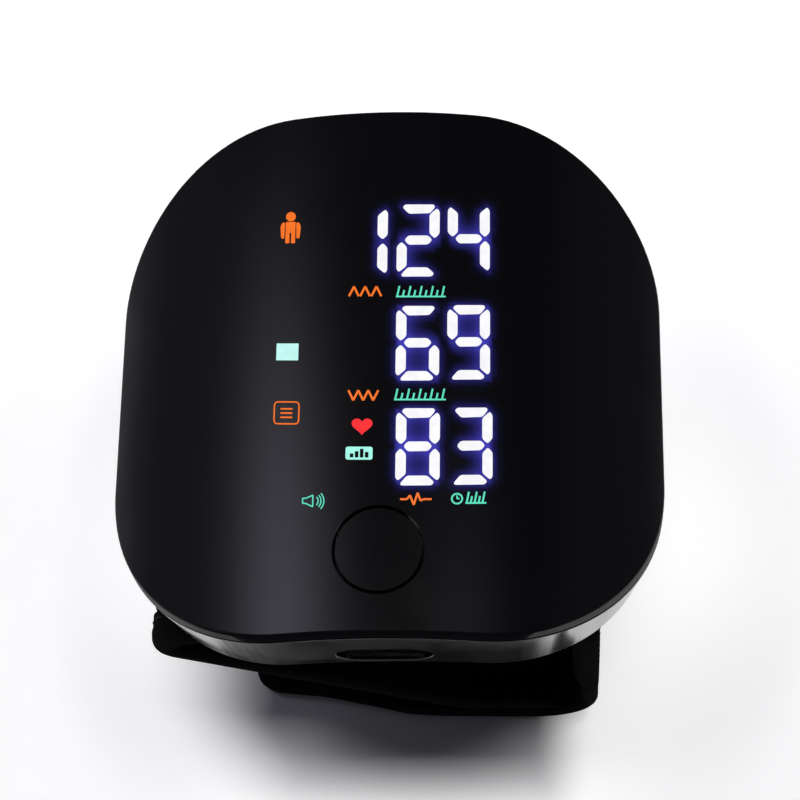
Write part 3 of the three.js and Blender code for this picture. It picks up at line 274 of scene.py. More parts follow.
# %% Weave and lit film
weave, taken, given = effect(
    "weave",
    [("Pitch", FLOAT, 0.0006), ("Wander", FLOAT, 0.3)],
    [("Height", FLOAT), ("Mask", FLOAT), ("Fuzz", FLOAT)],
)
cloth_place = node(weave, "ShaderNodeUVMap", uv_map="cloth").outputs[0]
ways = node(weave, "ShaderNodeSeparateXYZ")
weave.links.new(cloth_place, ways.inputs[0])
wander = texture(weave, "ShaderNodeTexNoise", cloth_place, Scale=220.0, Detail=2.0)
drift = math_node(weave, "MULTIPLY", wander.outputs[0], taken["Wander"])
threads = []
for axis, shift in (("X", 0.0), ("Y", math.pi / 2)):
    turns = math_node(weave, "DIVIDE", ways.outputs[axis], taken["Pitch"])
    wave = math_node(weave, "MULTIPLY_ADD", turns, 2 * math.pi, drift)
    threads.append(math_node(weave, "SINE", total(weave, wave, shift)))
crossing = math_node(weave, "MULTIPLY", *threads)
fuzz = texture(weave, "ShaderNodeTexNoise", cloth_place, Scale=2600.0, Detail=2.0)
weave.links.new(ramp(weave, crossing, -1.0, 1.0), given["Height"])
weave.links.new(ramp(weave, crossing, -0.4, 0.6), given["Mask"])
weave.links.new(ramp(weave, fuzz.outputs[0], 0.4, 0.7), given["Fuzz"])

lit_film, taken, given = effect(
    "lit film", [("Colour", COLOUR, (1, 1, 1, 1)), ("Unevenness", FLOAT, 0.08)], [("Colour", COLOUR)]
)
blotch = texture(lit_film, "ShaderNodeTexNoise", object_place(lit_film), Scale=800.0, Detail=2.0)
dim = math_node(lit_film, "MULTIPLY", ramp(lit_film, blotch.outputs[0], 0.35, 0.65), taken["Unevenness"])
shade = node(lit_film, "ShaderNodeMix", data_type="RGBA")
lit_film.links.new(dim, shade.inputs["Factor"])
lit_film.links.new(taken["Colour"], shade.inputs["A"])
shade.inputs["B"].default_value = (0, 0, 0, 1)
lit_film.links.new(shade.outputs["Result"], given["Colour"])
print("effects:", [g.name for g in bpy.data.node_groups])

# %% [markdown]
# ## Finishes
# Each finish is one Principled shader. Small helpers place an effect group and mix two colours or two
# roughness values by one of its masks, so a material is a short list of what the real surface does.

# %% Building blocks of a finish


def finish(name, **shader_values):
    """A material with one Principled shader; values that never change over the surface are set on it."""
    material = bpy.data.materials.new(name)
    material.use_nodes = True
    shader = material.node_tree.nodes["Principled BSDF"]
    for key, value in shader_values.items():
        shader.inputs[key.replace("_", " ")].default_value = value
    return material, material.node_tree, shader


def place_effect(tree, group, **values):
    """An effect group in a material, with this material's values."""
    made = tree.nodes.new("ShaderNodeGroup")
    made.node_tree = group
    for key, value in values.items():
        made.inputs[key].default_value = value
    return made.outputs


def two_colours(tree, shader, mask, first, second, target="Base Color"):
    """First colour where the mask is 0, second where it is 1."""
    made = node(tree, "ShaderNodeMix", data_type="RGBA")
    tree.links.new(mask, made.inputs["Factor"])
    made.inputs["A"].default_value = (*first, 1)
    made.inputs["B"].default_value = (*second, 1)
    tree.links.new(made.outputs["Result"], shader.inputs[target])


def rough_by(tree, shader, mask, low, high):
    """Roughness from low to high, by a mask."""
    tree.links.new(ramp(tree, mask, 0, 1, low, high), shader.inputs["Roughness"])


def bumped(tree, shader, height, depth, strength):
    """Relief from a height; depth is how far it reaches, in metres."""
    made = node(tree, "ShaderNodeBump", Strength=strength, Distance=depth)
    tree.links.new(height, made.inputs["Height"])
    tree.links.new(made.outputs[0], shader.inputs["Normal"])


def grained(name, first, second, rough, scale, depth, strength=0.6, **shader_values):
    """A finish whose colour and roughness follow the moulded grain."""
    material, tree, shader = finish(name, **shader_values)
    grain = place_effect(tree, moulded_grain, Scale=scale)
    two_colours(tree, shader, grain["Mask"], first, second)
    rough_by(tree, shader, grain["Mask"], *rough)
    bumped(tree, shader, grain["Height"], depth, strength)
    return material


def woven(name, first, second, rough, pitch, wander, depth, **shader_values):
    """A finish whose colour follows the threads of a weave, and its roughness their fuzz."""
    material, tree, shader = finish(name, Specular_IOR_Level=0.0, Sheen_Weight=0.012, **shader_values)
    cloth = place_effect(tree, weave, Pitch=pitch, Wander=wander)
    two_colours(tree, shader, cloth["Mask"], first, second)
    rough_by(tree, shader, cloth["Fuzz"], *rough)
    bumped(tree, shader, cloth["Height"], depth, 0.7)
    return material


def patterned(name, kind, pattern, first, second, rough, depth, strength, **shader_values):
    """A finish whose colour, roughness and relief follow one texture."""
    material, tree, shader = finish(name, **shader_values)
    fac = texture(tree, kind, object_place(tree), **pattern).outputs["Fac"]
    two_colours(tree, shader, fac, first, second)
    rough_by(tree, shader, fac, *rough)
    bumped(tree, shader, fac, depth, strength)
    return material


# %% Plastics of the case
HAZE_BLUE = (0.11, 0.098, 1.0)
face_black, tree, shader = finish("smoked face", IOR=1.5, Emission_Strength=1.0)
marks = place_effect(tree, handling_marks, Scale=45.0)
grain = place_effect(tree, moulded_grain, Scale=2600.0)
lamp_glow = node(tree, "ShaderNodeAttribute", attribute_name="lamp_glow").outputs["Fac"]
two_colours(tree, shader, marks["Dust"], (0.0020, 0.0020, 0.0025), (0.007, 0.007, 0.008))
two_colours(tree, shader, lamp_glow, (0, 0, 0), HAZE_BLUE, target="Emission Color")
rough_by(tree, shader, marks["Smudge"], 0.10, 0.13)
bumped(tree, shader, grain["Height"], 0.000002, 0.5)

case_black, tree, shader = finish("polished case", IOR=1.5)
case_black.cycles.use_bump_map_correction = False
marks = place_effect(tree, handling_marks, Scale=70.0)
worn = place_effect(tree, edge_wear, Start=0.54)
grain = place_effect(tree, moulded_grain, Scale=1800.0)
two_colours(tree, shader, worn["Mask"], (0.002, 0.002, 0.0024), (0.012, 0.012, 0.013))
rough_by(tree, shader, marks["Smudge"], 0.11, 0.15)
bumped(tree, shader, grain["Height"], 0.000002, 0.4)

inner_black, tree, shader = finish("grained back", IOR=1.48)
grain = place_effect(tree, moulded_grain, Scale=1500.0)
worn = place_effect(tree, edge_wear, Start=0.53)
two_colours(tree, shader, worn["Mask"], (0.012, 0.012, 0.014), (0.03, 0.03, 0.032))
rough_by(tree, shader, grain["Mask"], 0.42, 0.6)
bumped(tree, shader, grain["Height"], 0.00002, 0.7)
print("case finishes:", face_black.name, case_black.name, inner_black.name)

# %% Fabric of the cuff
cuff_fabric = woven(
    "black knit", (0.0050, 0.0050, 0.0055), (0.0160, 0.0160, 0.0175), (0.62, 0.85),
    pitch=0.00045, wander=1.0, depth=0.00004, Sheen_Roughness=0.45,
)
edge_tape = woven(
    "edge tape", (0.0036, 0.0036, 0.0040), (0.0095, 0.0095, 0.0104), (0.55, 0.75),
    pitch=0.0006, wander=0.2, depth=0.00005,
)
thread_black = grained(
    "sewing thread", (0.014, 0.014, 0.015), (0.034, 0.034, 0.036), (0.5, 0.7),
    scale=4000.0, depth=0.00002, Specular_IOR_Level=0.05,
)
pile_black = grained(
    "fastener pile", (0.005, 0.005, 0.0055), (0.016, 0.016, 0.017), (0.75, 0.95),
    scale=2200.0, depth=0.0002, strength=0.9, Specular_IOR_Level=0.05, Sheen_Weight=0.03,
)
print("cuff finishes:", [m.name for m in (cuff_fabric, edge_tape, thread_black, pile_black)])

# %% Lit film
DARK_FILM = (0.002, 0.002, 0.002, 1)


def lit(name, colour):
    """A lit window of the display: it shines in its colour, a little unevenly."""
    material, tree, shader = finish(
        name, Base_Color=DARK_FILM, Roughness=0.3, Specular_IOR_Level=0.2, Emission_Strength=1.0
    )
    light = place_effect(tree, lit_film, Colour=(*colour, 1), Unevenness=0.07)
    tree.links.new(light["Colour"], shader.inputs["Emission Color"])
    return material


lit_white = lit("lit white", (0.98, 0.98, 1.0))
lit_orange = lit("lit orange", (0.97, 0.180, 0.015))
lit_green = lit("lit green", (0.115, 0.79, 0.55))
lit_mint = lit("lit mint", (0.56, 0.98, 0.93))
lit_leaf = lit("lit leaf", (0.38, 0.98, 0.83))
lit_red = lit("lit red", (1.0, 0.020, 0.026))
print("lit finishes: white, orange, green, mint, leaf, red")

# %% [markdown]
# ## Finishes of the hidden parts
# The parts inside keep the shapes of the frame. They still get what a repairer would see: a board with
# traces, wound copper, brushed cans, foil, foam and soft hoses.

# %% Hidden parts: plastics, board and metals
INSIDE_GRAINS = [  # slot, name, two colours, roughness, scale, depth, metal
    ("white_plastic", "moulded white", (0.72, 0.72, 0.70), (0.80, 0.80, 0.78), (0.4, 0.55), 1400, 10e-6, 0),
    ("display_film", "frosted film", (0.38, 0.38, 0.46), (0.46, 0.46, 0.54), (0.5, 0.65), 2400, 6e-6, 0),
    ("chip_black", "moulded epoxy", (0.018, 0.019, 0.02), (0.032, 0.033, 0.035), (0.45, 0.6), 1800, 10e-6, 0),
    ("foam", "open foam", (0.06, 0.06, 0.065), (0.14, 0.14, 0.15), (0.9, 1.0), 900, 200e-6, 0),
    ("silicone", "soft silicone", (0.60, 0.62, 0.64), (0.70, 0.72, 0.74), (0.5, 0.65), 500, 20e-6, 0),
    ("lead_sleeve", "soft sleeve", (0.24, 0.015, 0.015), (0.34, 0.025, 0.025), (0.45, 0.6), 1200, 10e-6, 0),
    ("bladder_film", "welded film", (0.17, 0.19, 0.23), (0.23, 0.25, 0.29), (0.35, 0.5), 300, 50e-6, 0),
    ("steel", "plain steel", (0.52, 0.53, 0.55), (0.64, 0.65, 0.67), (0.25, 0.4), 700, 10e-6, 1),
    ("foil", "laminated foil", (0.50, 0.51, 0.53), (0.60, 0.61, 0.63), (0.3, 0.42), 260, 60e-6, 0.85),
]
finishes = {"face_black": face_black, "case_black": case_black, "inner_black": inner_black}
finishes["cuff_fabric"] = cuff_fabric
for slot, *values, metal in INSIDE_GRAINS:
    finishes[slot] = grained(*values, Metallic=metal)
finishes["copper"] = patterned(
    "enamelled winding", "ShaderNodeTexWave", dict(Scale=900.0, Distortion=0.4, bands_direction="Y"),
    (0.42, 0.18, 0.08), (0.72, 0.36, 0.18), (0.45, 0.28), depth=0.00008, strength=0.8, Metallic=1.0,
)
finishes["board_green"] = patterned(
    "solder mask", "ShaderNodeTexBrick",
    dict(Scale=160.0, Mortar_Size=0.06, Mortar_Smooth=0.2, offset=0.37),
    (0.02, 0.13, 0.06), (0.07, 0.26, 0.13), (0.35, 0.5), depth=0.00003, strength=0.7, IOR=1.5,
)
for row in frame["record"]["subparts"]:
    carried = frame["nodes"][row["node"]].data
    carried.materials.clear()
    carried.materials.append(finishes[row["material_slot"]])

# %% [markdown]
# ## The table
# A pale, even sheet of card lies under the object. It is stage, not part of the model. Its colour carries
# painted light: for the camera, in mirrors and through glass the card shines a little everywhere, more far
# off, and most just beside the object, where this painted light hides the softbox's shadow. No more light
# falls on the object for it. The shadow is kept only inside four soft edges, written down in metres, of
# which the left one slants.

# %% Table
SHADOW_LEFT, SHADOW_RIGHT = (0.022, 0.040), (0.0165, 0.0255)
SHADOW_NEAR, SHADOW_FAR = (0.0335, 0.046), (0.027, 0.045)
SLANT_FROM, SLANT = 0.024, 0.8
SHINE_MIDDLE = (0.002, 0, 0)
TABLE_REACH, TABLE_Z = 6.0, -0.0001
card, tree, shader = finish("pale card", Roughness=0.9, IOR=1.3)
fibre = place_effect(tree, moulded_grain, Scale=160.0)
two_colours(tree, shader, fibre["Mask"], (0.925, 0.925, 0.935), (0.935, 0.935, 0.945))
place = object_place(tree)
ways = node(tree, "ShaderNodeSeparateXYZ")
tree.links.new(place, ways.inputs[0])
to_right, to_far = ways.outputs["X"], ways.outputs["Y"]
to_left, to_near = (math_node(tree, "MULTIPLY", way, -1.0) for way in (to_right, to_far))
slant = math_node(tree, "MAXIMUM", math_node(tree, "SUBTRACT", to_near, SLANT_FROM), 0.0)
slanted_left = total(tree, to_left, math_node(tree, "MULTIPLY", slant, SLANT))
across = total(tree, ramp(tree, slanted_left, *SHADOW_LEFT), ramp(tree, to_right, *SHADOW_RIGHT))
along = total(tree, ramp(tree, to_near, *SHADOW_NEAR), ramp(tree, to_far, *SHADOW_FAR))
squares = total(tree, *[math_node(tree, "MULTIPLY", way, way) for way in (across, along)])
clear_of_shadow = math_node(tree, "MINIMUM", math_node(tree, "SQRT", squares), 1.0)
from_middle = node(tree, "ShaderNodeVectorMath", operation="DISTANCE")
tree.links.new(place, from_middle.inputs[0])
from_middle.inputs[1].default_value = SHINE_MIDDLE
away = from_middle.outputs["Value"]
# Painted light beside the object: strongest up to 30 mm from the middle, gone by 56 mm and towards the far
# side, where the softbox's shadow falls on the sides.
painted_light_beside = math_node(
    tree, "MULTIPLY", ramp(tree, away, 0.030, 0.056, 0.47, 0), ramp(tree, to_far, 0.045, 0.028)
)
behind = ramp(tree, to_far, 0.0, 0.06, 0.17, 0.26)
far_off = ramp(tree, away, 0.12, 1.5, 0, 0.9)
rays = node(tree, "ShaderNodeLightPath").outputs
seen = total(tree, *[rays[f"Is {kind} Ray"] for kind in ("Camera", "Glossy", "Transmission")])
lift = math_node(tree, "MULTIPLY", total(tree, painted_light_beside, behind, far_off), seen)
shader.inputs["Emission Color"].default_value = (1, 1, 1, 1)
tree.links.new(math_node(tree, "MULTIPLY", clear_of_shadow, lift), shader.inputs["Emission Strength"])
table_mesh = bpy.data.meshes.new("table")
table_corners = [(TABLE_REACH * x, TABLE_REACH * y, TABLE_Z) for x, y in ((-1, -1), (1, -1), (1, 1), (-1, 1))]
table_mesh.from_pydata(table_corners, [], [(0, 1, 2, 3)])
table_mesh.materials.append(card)
table = bpy.data.objects.new("table", table_mesh)
scene.collection.objects.link(table)
print("table:", 2 * TABLE_REACH, "m wide")

# %% [markdown]
# ## Making meshes from rings
# Almost every piece here is a stack of rings, joined by quads, with a triangulated sheet where there is a
# hole in it. The maker below collects points, their directions and faces in millimetres; a piece is
# finished by giving it a name, a finish, the body it rides on and the frame parts it stands for.

# %% Rings and pieces


class Making:
    """Collects the points (mm), surface directions, cloth coordinates (m) and faces of one piece."""

    def __init__(self):
        self.points, self.facing, self.faces, self.cloth = [], [], [], []

    def ring(self, points, facing=None, cloth=None):
        """Adds points and gives back their numbers; directions and cloth coordinates may be left out."""
        start = len(self.points)
        self.points += [tuple(p) for p in points]
        self.facing += [tuple(n) for n in facing] if facing is not None else [None] * len(points)
        self.cloth += cloth if cloth is not None else [(p[0] * MM, p[1] * MM) for p in points]
        return list(range(start, len(self.points)))

    def join(self, first, second):
        """Quads between two closed rings."""
        for i, j in zip(range(len(first)), [*range(1, len(first)), 0]):
            self.faces.append((first[i], first[j], second[j], second[i]))

    def stack(self, rings):
        """Joins a row of rings, each to the next; a row whose faces should point the other way is given in
        reverse.
        """
        for first, second in zip(rings, rings[1:]):
            self.join(first, second)

    def cap(self, ring, turned=False):
        """Closes a ring with triangles to its middle."""
        middle = tuple(np.mean([self.points[i] for i in ring], axis=0))
        (hub,) = self.ring([middle], cloth=[tuple(np.mean([self.cloth[i] for i in ring], axis=0))])
        for a, b in zip(ring, ring[1:] + ring[:1]):
            self.faces.append((b, a, hub) if turned else (a, b, hub))

    def closed_stack(self, rings):
        """A row of rings with both ends closed."""
        self.stack(rings)
        self.cap(rings[0], turned=True)
        self.cap(rings[-1])


def dress(making, name, material, body="body", stands_for=(), sharp=None):
    """Makes the object: it takes its finish, rides on its body and stands for its frame parts."""
    mesh = bpy.data.meshes.new(name)
    mesh.from_pydata([tuple(c * MM for c in p) for p in making.points], [], making.faces)
    mesh.polygons.foreach_set("use_smooth", [True] * len(mesh.polygons))
    layer = mesh.uv_layers.new(name="cloth")
    corners = np.array([making.cloth[loop.vertex_index] for loop in mesh.loops], np.float32)
    layer.data.foreach_set("uv", corners.ravel())
    if sharp:
        mesh.set_sharp_from_angle(angle=math.radians(sharp))
    if any(n is not None for n in making.facing):
        shown = [tuple(n.vector) for n in mesh.corner_normals]
        given = [making.facing[loop.vertex_index] for loop in mesh.loops]
        mesh.normals_split_custom_set([g or s for g, s in zip(given, shown)])
    mesh.materials.append(material)
    piece = bpy.data.objects.new(name, mesh)
    scene.collection.objects.link(piece)
    if stands_for:
        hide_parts(*stands_for)
    if body:
        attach(piece, body)
    print(f"{name}: {len(mesh.vertices)} points, {len(mesh.polygons)} faces")
    return piece


# %% Loops and sheets
TOO_SMALL = 1e-9


def circle(centre, radius, count):
    """A closed loop of points, from the right and against the clock."""
    angles = [2 * math.pi * i / count for i in range(count)]
    return [(centre[0] + radius * math.cos(a), centre[1] + radius * math.sin(a)) for a in angles]


def slot_loop(half_width, radius, steps):
    """A slot with round ends, seen from the near side."""
    reach = half_width - radius
    angles = np.linspace(-math.pi / 2, math.pi / 2, steps)
    right = [(reach + radius * math.cos(a), radius * math.sin(a)) for a in angles]
    return right + [(-x, -z) for x, z in right]


def quarter_round(steps):
    """Shares of a quarter round after its start: what is left to go, and what is gone in depth."""
    angles = [k / steps * math.pi / 2 for k in range(1, steps + 1)]
    return [(1 - math.sin(a), 1 - math.cos(a)) for a in angles]


def inside(loop, points):
    """Which points lie inside a closed loop, by counting crossings."""
    loop, points = np.asarray(loop), np.asarray(points)
    found = np.zeros(len(points), bool)
    for (ax, ay), (bx, by) in zip(loop, np.roll(loop, -1, axis=0)):
        if ay != by:
            crosses = (ay > points[:, 1]) != (by > points[:, 1])
            found ^= crosses & (points[:, 0] < (bx - ax) * (points[:, 1] - ay) / (by - ay) + ax)
    return found


def clearance(loop, points):
    """Distance of each point from the corners of a loop."""
    loop, points = np.asarray(loop), np.asarray(points)
    return np.sqrt(((points[:, None, :] - loop[None, :, :]) ** 2).sum(axis=2)).min(axis=1)


def sheet_triangles(edge, holes, loose):
    """Triangles over a flat region: edge and holes are loops, loose are points between them."""
    loops = [edge, *holes]
    flat = [Vector(p) for loop in loops for p in loop] + [Vector(p) for p in loose]
    borders, start = [], 0
    for loop in loops:
        borders += [(start + i, start + (i + 1) % len(loop)) for i in range(len(loop))]
        start += len(loop)
    made = delaunay_2d_cdt(flat, borders, [], 0, 1e-7)
    first_of = [origin[0] for origin in made[3]]
    triangles = np.array([[first_of[i] for i in face] for face in made[2]])
    where = np.array([(p.x, p.y) for p in flat])
    middles = where[triangles].mean(axis=1)
    keep = inside(edge, middles)
    for hole in holes:
        keep &= ~inside(hole, middles)
    a, b, c = (where[triangles[:, i]] for i in range(3))
    turn = (b[:, 0] - a[:, 0]) * (c[:, 1] - a[:, 1]) - (b[:, 1] - a[:, 1]) * (c[:, 0] - a[:, 0])
    triangles[turn < 0] = triangles[turn < 0][:, ::-1]
    return triangles[keep & (np.abs(turn) > TOO_SMALL)].tolist()


def grid(low_x, high_x, low_y, high_y, pitch):
    """Points of an even grid."""
    xs = np.arange(low_x, high_x + TOO_SMALL, pitch)
    ys = np.arange(low_y, high_y + TOO_SMALL, pitch)
    return np.array([(x, y) for y in ys for x in xs])


def frame_box(name):
    """A frame part's lowest and highest corners, in mm."""
    return [np.array(corner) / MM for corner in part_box(name)]


# %% [markdown]
# ## The shape of the case
# The case is a rounded square from above. Its face is bent over one axis, like a saddle for the wrist, and
# so is its back, but less. The few sizes below are the frame's own; everything else follows from them.

# %% Outline, face and back
CASE_HALF, _, CROWN = frame_box("front_panel")[1]
CORNER = 22.4
FACE_DROP, BACK_DROP, DEPTH = 13.41, 8.53, 17.9
PANEL, WALL, LEAN, SEAM = 2.2, 1.8, 1.5, 0.3
ROW_BEND, ROW_TILT = 0.0044, 0.0165


def bend_radius(drop):
    """Radius of a bend that falls by drop from the middle to the sides."""
    return (CASE_HALF**2 + drop**2) / (2 * drop)


FACE_R, BACK_R = bend_radius(FACE_DROP), bend_radius(BACK_DROP)
FACE_AXIS, BACK_AXIS = CROWN - FACE_R, CROWN - DEPTH - BACK_R


def face_z(x, depth=0.0):
    """Height of the face, or of a layer that lies deeper."""
    return FACE_AXIS + math.sqrt((FACE_R - depth) ** 2 - x * x)


def back_z(x, height=0.0):
    """Height of the back, or of a layer above it."""
    return BACK_AXIS + math.sqrt((BACK_R + height) ** 2 - x * x)


def outline_stations(side_steps=24, corner_steps=28):
    """Points round the outline with their outward directions, from the middle of the near side."""
    flat = CASE_HALF - CORNER
    stations = []
    for quarter in range(4):
        turn = quarter * math.pi / 2
        c, s = math.cos(turn), math.sin(turn)
        side = [(flat * (2 * i / side_steps - 1), -CASE_HALF, 0, -1) for i in range(side_steps)]
        for i in range(corner_steps):
            a = -math.pi / 2 + (i / corner_steps) * math.pi / 2
            n = (math.cos(a), math.sin(a))
            side.append((flat + CORNER * n[0], -flat + CORNER * n[1], *n))
        for x, y, nx, ny in side:
            stations.append((x * c - y * s, x * s + y * c, nx * c - ny * s, nx * s + ny * c))
    half = side_steps // 2
    return stations[half:] + stations[:half]


STATIONS = outline_stations()


def outline(inset):
    """The outline, drawn in by inset."""
    return [(x - nx * inset, y - ny * inset) for x, y, nx, ny in STATIONS]


def along_face(s, y, height=0.0):
    """A point on the bent face: s is measured along the bend from its middle."""
    a = s / FACE_R
    return ((FACE_R + height) * math.sin(a), y, FACE_AXIS + (FACE_R + height) * math.cos(a))


def board_row(s):
    """How far a straight row of the flat lamp board shows further up on the bent face, at s."""
    return ROW_BEND * s * s - ROW_TILT * s


print(f"face radius {FACE_R:.2f} mm, back radius {BACK_R:.2f} mm, {len(STATIONS)} stations")

# %% [markdown]
# ## What the display shows
# Behind the smoked face sit three rows of lit figures and some pictograms. The lamp board is flat and the
# face is bent, so a straight row shows on the face as a slight curve. Each mark is a thin plate on the face.
# The figures have seven strokes with mitred, slightly rounded ends; they are drawn once and used for every
# digit. The pictograms are generic signs of fitting size and colour.

# %% Strokes of a figure, and outlines of signs
TOP = [(0.66, 9.56), (0.94, 9.96), (4.52, 9.96), (4.66, 9.60), (4.02, 8.76), (1.44, 8.68)]
UPPER = [(4.92, 9.44), (5.24, 8.98), (5.24, 5.92), (4.64, 5.26), (3.99, 5.92), (3.99, 8.58)]
MIDDLE = [(0.92, 5.02), (1.40, 5.64), (3.85, 5.64), (4.34, 5.04), (3.82, 4.42), (1.42, 4.38)]
LOWER = [(0.58, 4.78), (1.23, 4.06), (1.23, 1.46), (0.30, 0.62), (0.00, 0.98), (0.00, 4.12)]
BOTTOM = [(1.38, 1.25), (3.78, 1.25), (4.60, 0.42), (4.30, 0.02), (0.66, 0.00), (0.60, 0.30)]
FIGURE_WIDTH, FIGURE_STRETCH, STROKE_ROUND = 5.24, 0.985, 0.28


def other_side(stroke):
    """A stroke mirrored to the figure's other side."""
    return [(FIGURE_WIDTH - u, v) for u, v in stroke]


STROKES = dict(
    a=TOP, b=UPPER, c=other_side(LOWER), d=BOTTOM, e=LOWER, f=other_side(UPPER), g=MIDDLE
)
LIT_STROKES = {1: "bc", 2: "abged", 4: "fgbc", 6: "afgedc", 9: "abcdfg", 8: "abcdefg", 3: "abgcd"}
FIGURES = [  # digit, place along the bend, place upwards
    (1, -4.72, 11.02), (2, 1.66, 11.18), (4, 7.90, 11.38),
    (6, 1.72, -2.58), (9, 7.92, -2.46),
    (8, 1.88, -15.98), (3, 8.22, -15.92),
]


def placed_strokes(digit, s0, v0):
    """The lit strokes of one digit at its place."""
    return [[(s0 + u, v0 + v * FIGURE_STRETCH) for u, v in STROKES[letter]] for letter in LIT_STROKES[digit]]


def softened(corners, radius, steps=3):
    """A loop with its corners rounded off."""
    out = []
    for i, here in enumerate(corners):
        here = np.array(here)
        ends = []
        for other in (corners[i - 1], corners[(i + 1) % len(corners)]):
            way = np.array(other) - here
            length = np.linalg.norm(way)
            ends.append(here + way / length * min(radius, 0.45 * length))
        for t in np.arange(steps + 1) / steps:
            out.append(tuple((1 - t) ** 2 * ends[0] + 2 * t * (1 - t) * here + t**2 * ends[1]))
    return out


def ribbon(path, width):
    """A loop round an open line of points, as a pen of that width would draw it."""
    path = np.array(path, float)
    step = np.gradient(path, axis=0)
    step /= np.linalg.norm(step, axis=1)[:, None]
    across = np.column_stack([-step[:, 1], step[:, 0]]) * width / 2
    return [tuple(p) for p in path + across] + [tuple(p) for p in (path - across)[::-1]]


def bar(start, stop, width):
    """A straight stroke between two points."""
    return ribbon([start, tuple(np.mean([start, stop], axis=0)), stop], width)


def arc(cx, cy, radius, start, stop, steps=12):
    """Points of an arc, its ends in degrees."""
    angles = np.radians(np.linspace(start, stop, steps + 1))
    return [(cx + radius * math.cos(a), cy + radius * math.sin(a)) for a in angles]


def box_loop(low_s, high_s, low_v, high_v, radius):
    """A box with rounded corners."""
    return softened([(low_s, low_v), (high_s, low_v), (high_s, high_v), (low_s, high_v)], radius)


stroke_loops = [softened(stroke, STROKE_ROUND) for figure in FIGURES for stroke in placed_strokes(*figure)]
print("lit strokes:", len(stroke_loops))

# %% Plates that follow the face
PLATE_STEP, PLATE_HEIGHT, PLATE_FOOT = 0.7, 0.03, -0.02


def resampled(loop, step):
    """A closed loop with no side longer than step."""
    out = []
    for here, after in zip(loop, loop[1:] + loop[:1]):
        count = max(1, math.ceil(math.dist(here, after) / step))
        if math.dist(here, after) > 1e-6:
            out += [tuple(np.array(here) + (np.array(after) - here) * i / count) for i in range(count)]
    return out


def lit_plate(making, loop, height):
    """Lays one loop on the face as a thin plate."""
    edge = resampled(loop, PLATE_STEP)
    if sum(a[0] * b[1] - b[0] * a[1] for a, b in zip(edge, edge[1:] + edge[:1])) < 0:
        edge.reverse()
    low, high = np.min(edge, axis=0), np.max(edge, axis=0)
    loose = grid(low[0], high[0], low[1], high[1], PLATE_STEP)
    loose = loose[inside(edge, loose) & (clearance(edge, loose) > 0.3 * PLATE_STEP)]
    loose = [tuple(p) for p in loose]
    top = making.ring([along_face(s, v + board_row(s), height) for s, v in [*edge, *loose]])
    for triangle in sheet_triangles(edge, [], loose):
        making.faces.append(tuple(top[i] for i in triangle))
    foot = making.ring([along_face(s, v + board_row(s), PLATE_FOOT) for s, v in edge])
    making.join(foot, top[: len(edge)])


def show(name, loops, material, height=PLATE_HEIGHT):
    """One piece of the display, from all the loops that share a colour."""
    making = Making()
    for loop in loops:
        lit_plate(making, loop, height)
    dress(making, name, material, sharp=35)


show("lit_figures", stroke_loops, lit_white)

# %% Orange signs: a standing figure, a list in a frame, rising, falling and pulse marks
FIGURE_MIDDLE = -11.78
LEFT_ARM = [
    (-12.98, 16.43), (-12.58, 16.43), (-12.56, 17.68),
    (-12.5, 18.68), (-12.95, 18.60), (-13.12, 17.98),
]
LEFT_TRUNK = [(-12.42, 15.80), (-11.9, 15.80), (-11.9, 17.23)]
RIGHT_TRUNK = [(-11.66, 17.23), (-11.66, 15.80), (-11.14, 15.80)]
SHOULDERS = [(-11.14, 18.73), (-12.42, 18.73)]
standing_figure = [
    arc(FIGURE_MIDDLE, 19.46, 0.64, 0, 346, 24),
    softened(LEFT_ARM, 0.28),
    softened([(2 * FIGURE_MIDDLE - s, v) for s, v in LEFT_ARM], 0.28),
    softened(LEFT_TRUNK + RIGHT_TRUNK + SHOULDERS, 0.1),
]


def framed(low_s, high_s, low_v, high_v, radius, width):
    """A rounded frame, drawn as ribbons that meet."""
    path = resampled(box_loop(low_s, high_s, low_v, high_v, radius), 0.4)
    sides = [path[i : i + 5] for i in range(0, len(path) - 1, 4)]
    return [ribbon(side, width) for side in [*sides, path[-2:] + path[:1]]]


def chevrons(low_s, low_v, count, pitch, rise):
    """A row of small roof marks, or of cups where rise is below zero."""
    base, tip = (low_v, low_v + rise) if rise > 0 else (low_v - rise, low_v)
    marks = []
    for s in (low_s + i * pitch for i in range(count)):
        marks += [bar((s, base), (s + 0.6, tip), 0.26), bar((s + 0.6, tip), (s + 1.2, base), 0.26)]
    return marks


PULSE = [
    (2.5, -17.7), (3.3, -17.7), (3.65, -17.2), (4.1, -18.4),
    (4.55, -16.9), (4.9, -17.9), (5.2, -17.7), (6.2, -17.7),
]
orange_loops = [
    *standing_figure,
    *framed(-13.1, -9.95, -8.25, -5.41, radius=0.5, width=0.17),
    *[box_loop(-12.3, -10.76, v, v + 0.2, 0.08) for v in (-7.51, -6.96, -6.41)],
    *chevrons(-4.1, 8.55, count=3, pitch=1.38, rise=1.3),
    *chevrons(-3.9, -5.15, count=3, pitch=1.2, rise=-1.3),
    *[bar(a, b, 0.24) for a, b in zip(PULSE, PULSE[1:])],
]
show("lit_orange_signs", orange_loops, lit_orange)

# %% Green signs, the heart and the badge


def scale_marks(low_s, high_s, low_v, count):
    """A small ruler: a base line and ticks, every second one longer, leaning a little."""
    marks = [bar((low_s, low_v + 0.1), (high_s, low_v + 0.1), 0.2)]
    for i in range(count):
        s = low_s + 0.15 + (high_s - low_s - 0.6) * i / (count - 1)
        tall = 1.5 if i % 2 == 0 else 0.95
        tick = [(s, low_v + 0.2), (s + 0.08 * tall, low_v + tall / 2), (s + 0.17 * tall, low_v + tall)]
        marks.append(ribbon(tick, 0.22))
    return marks


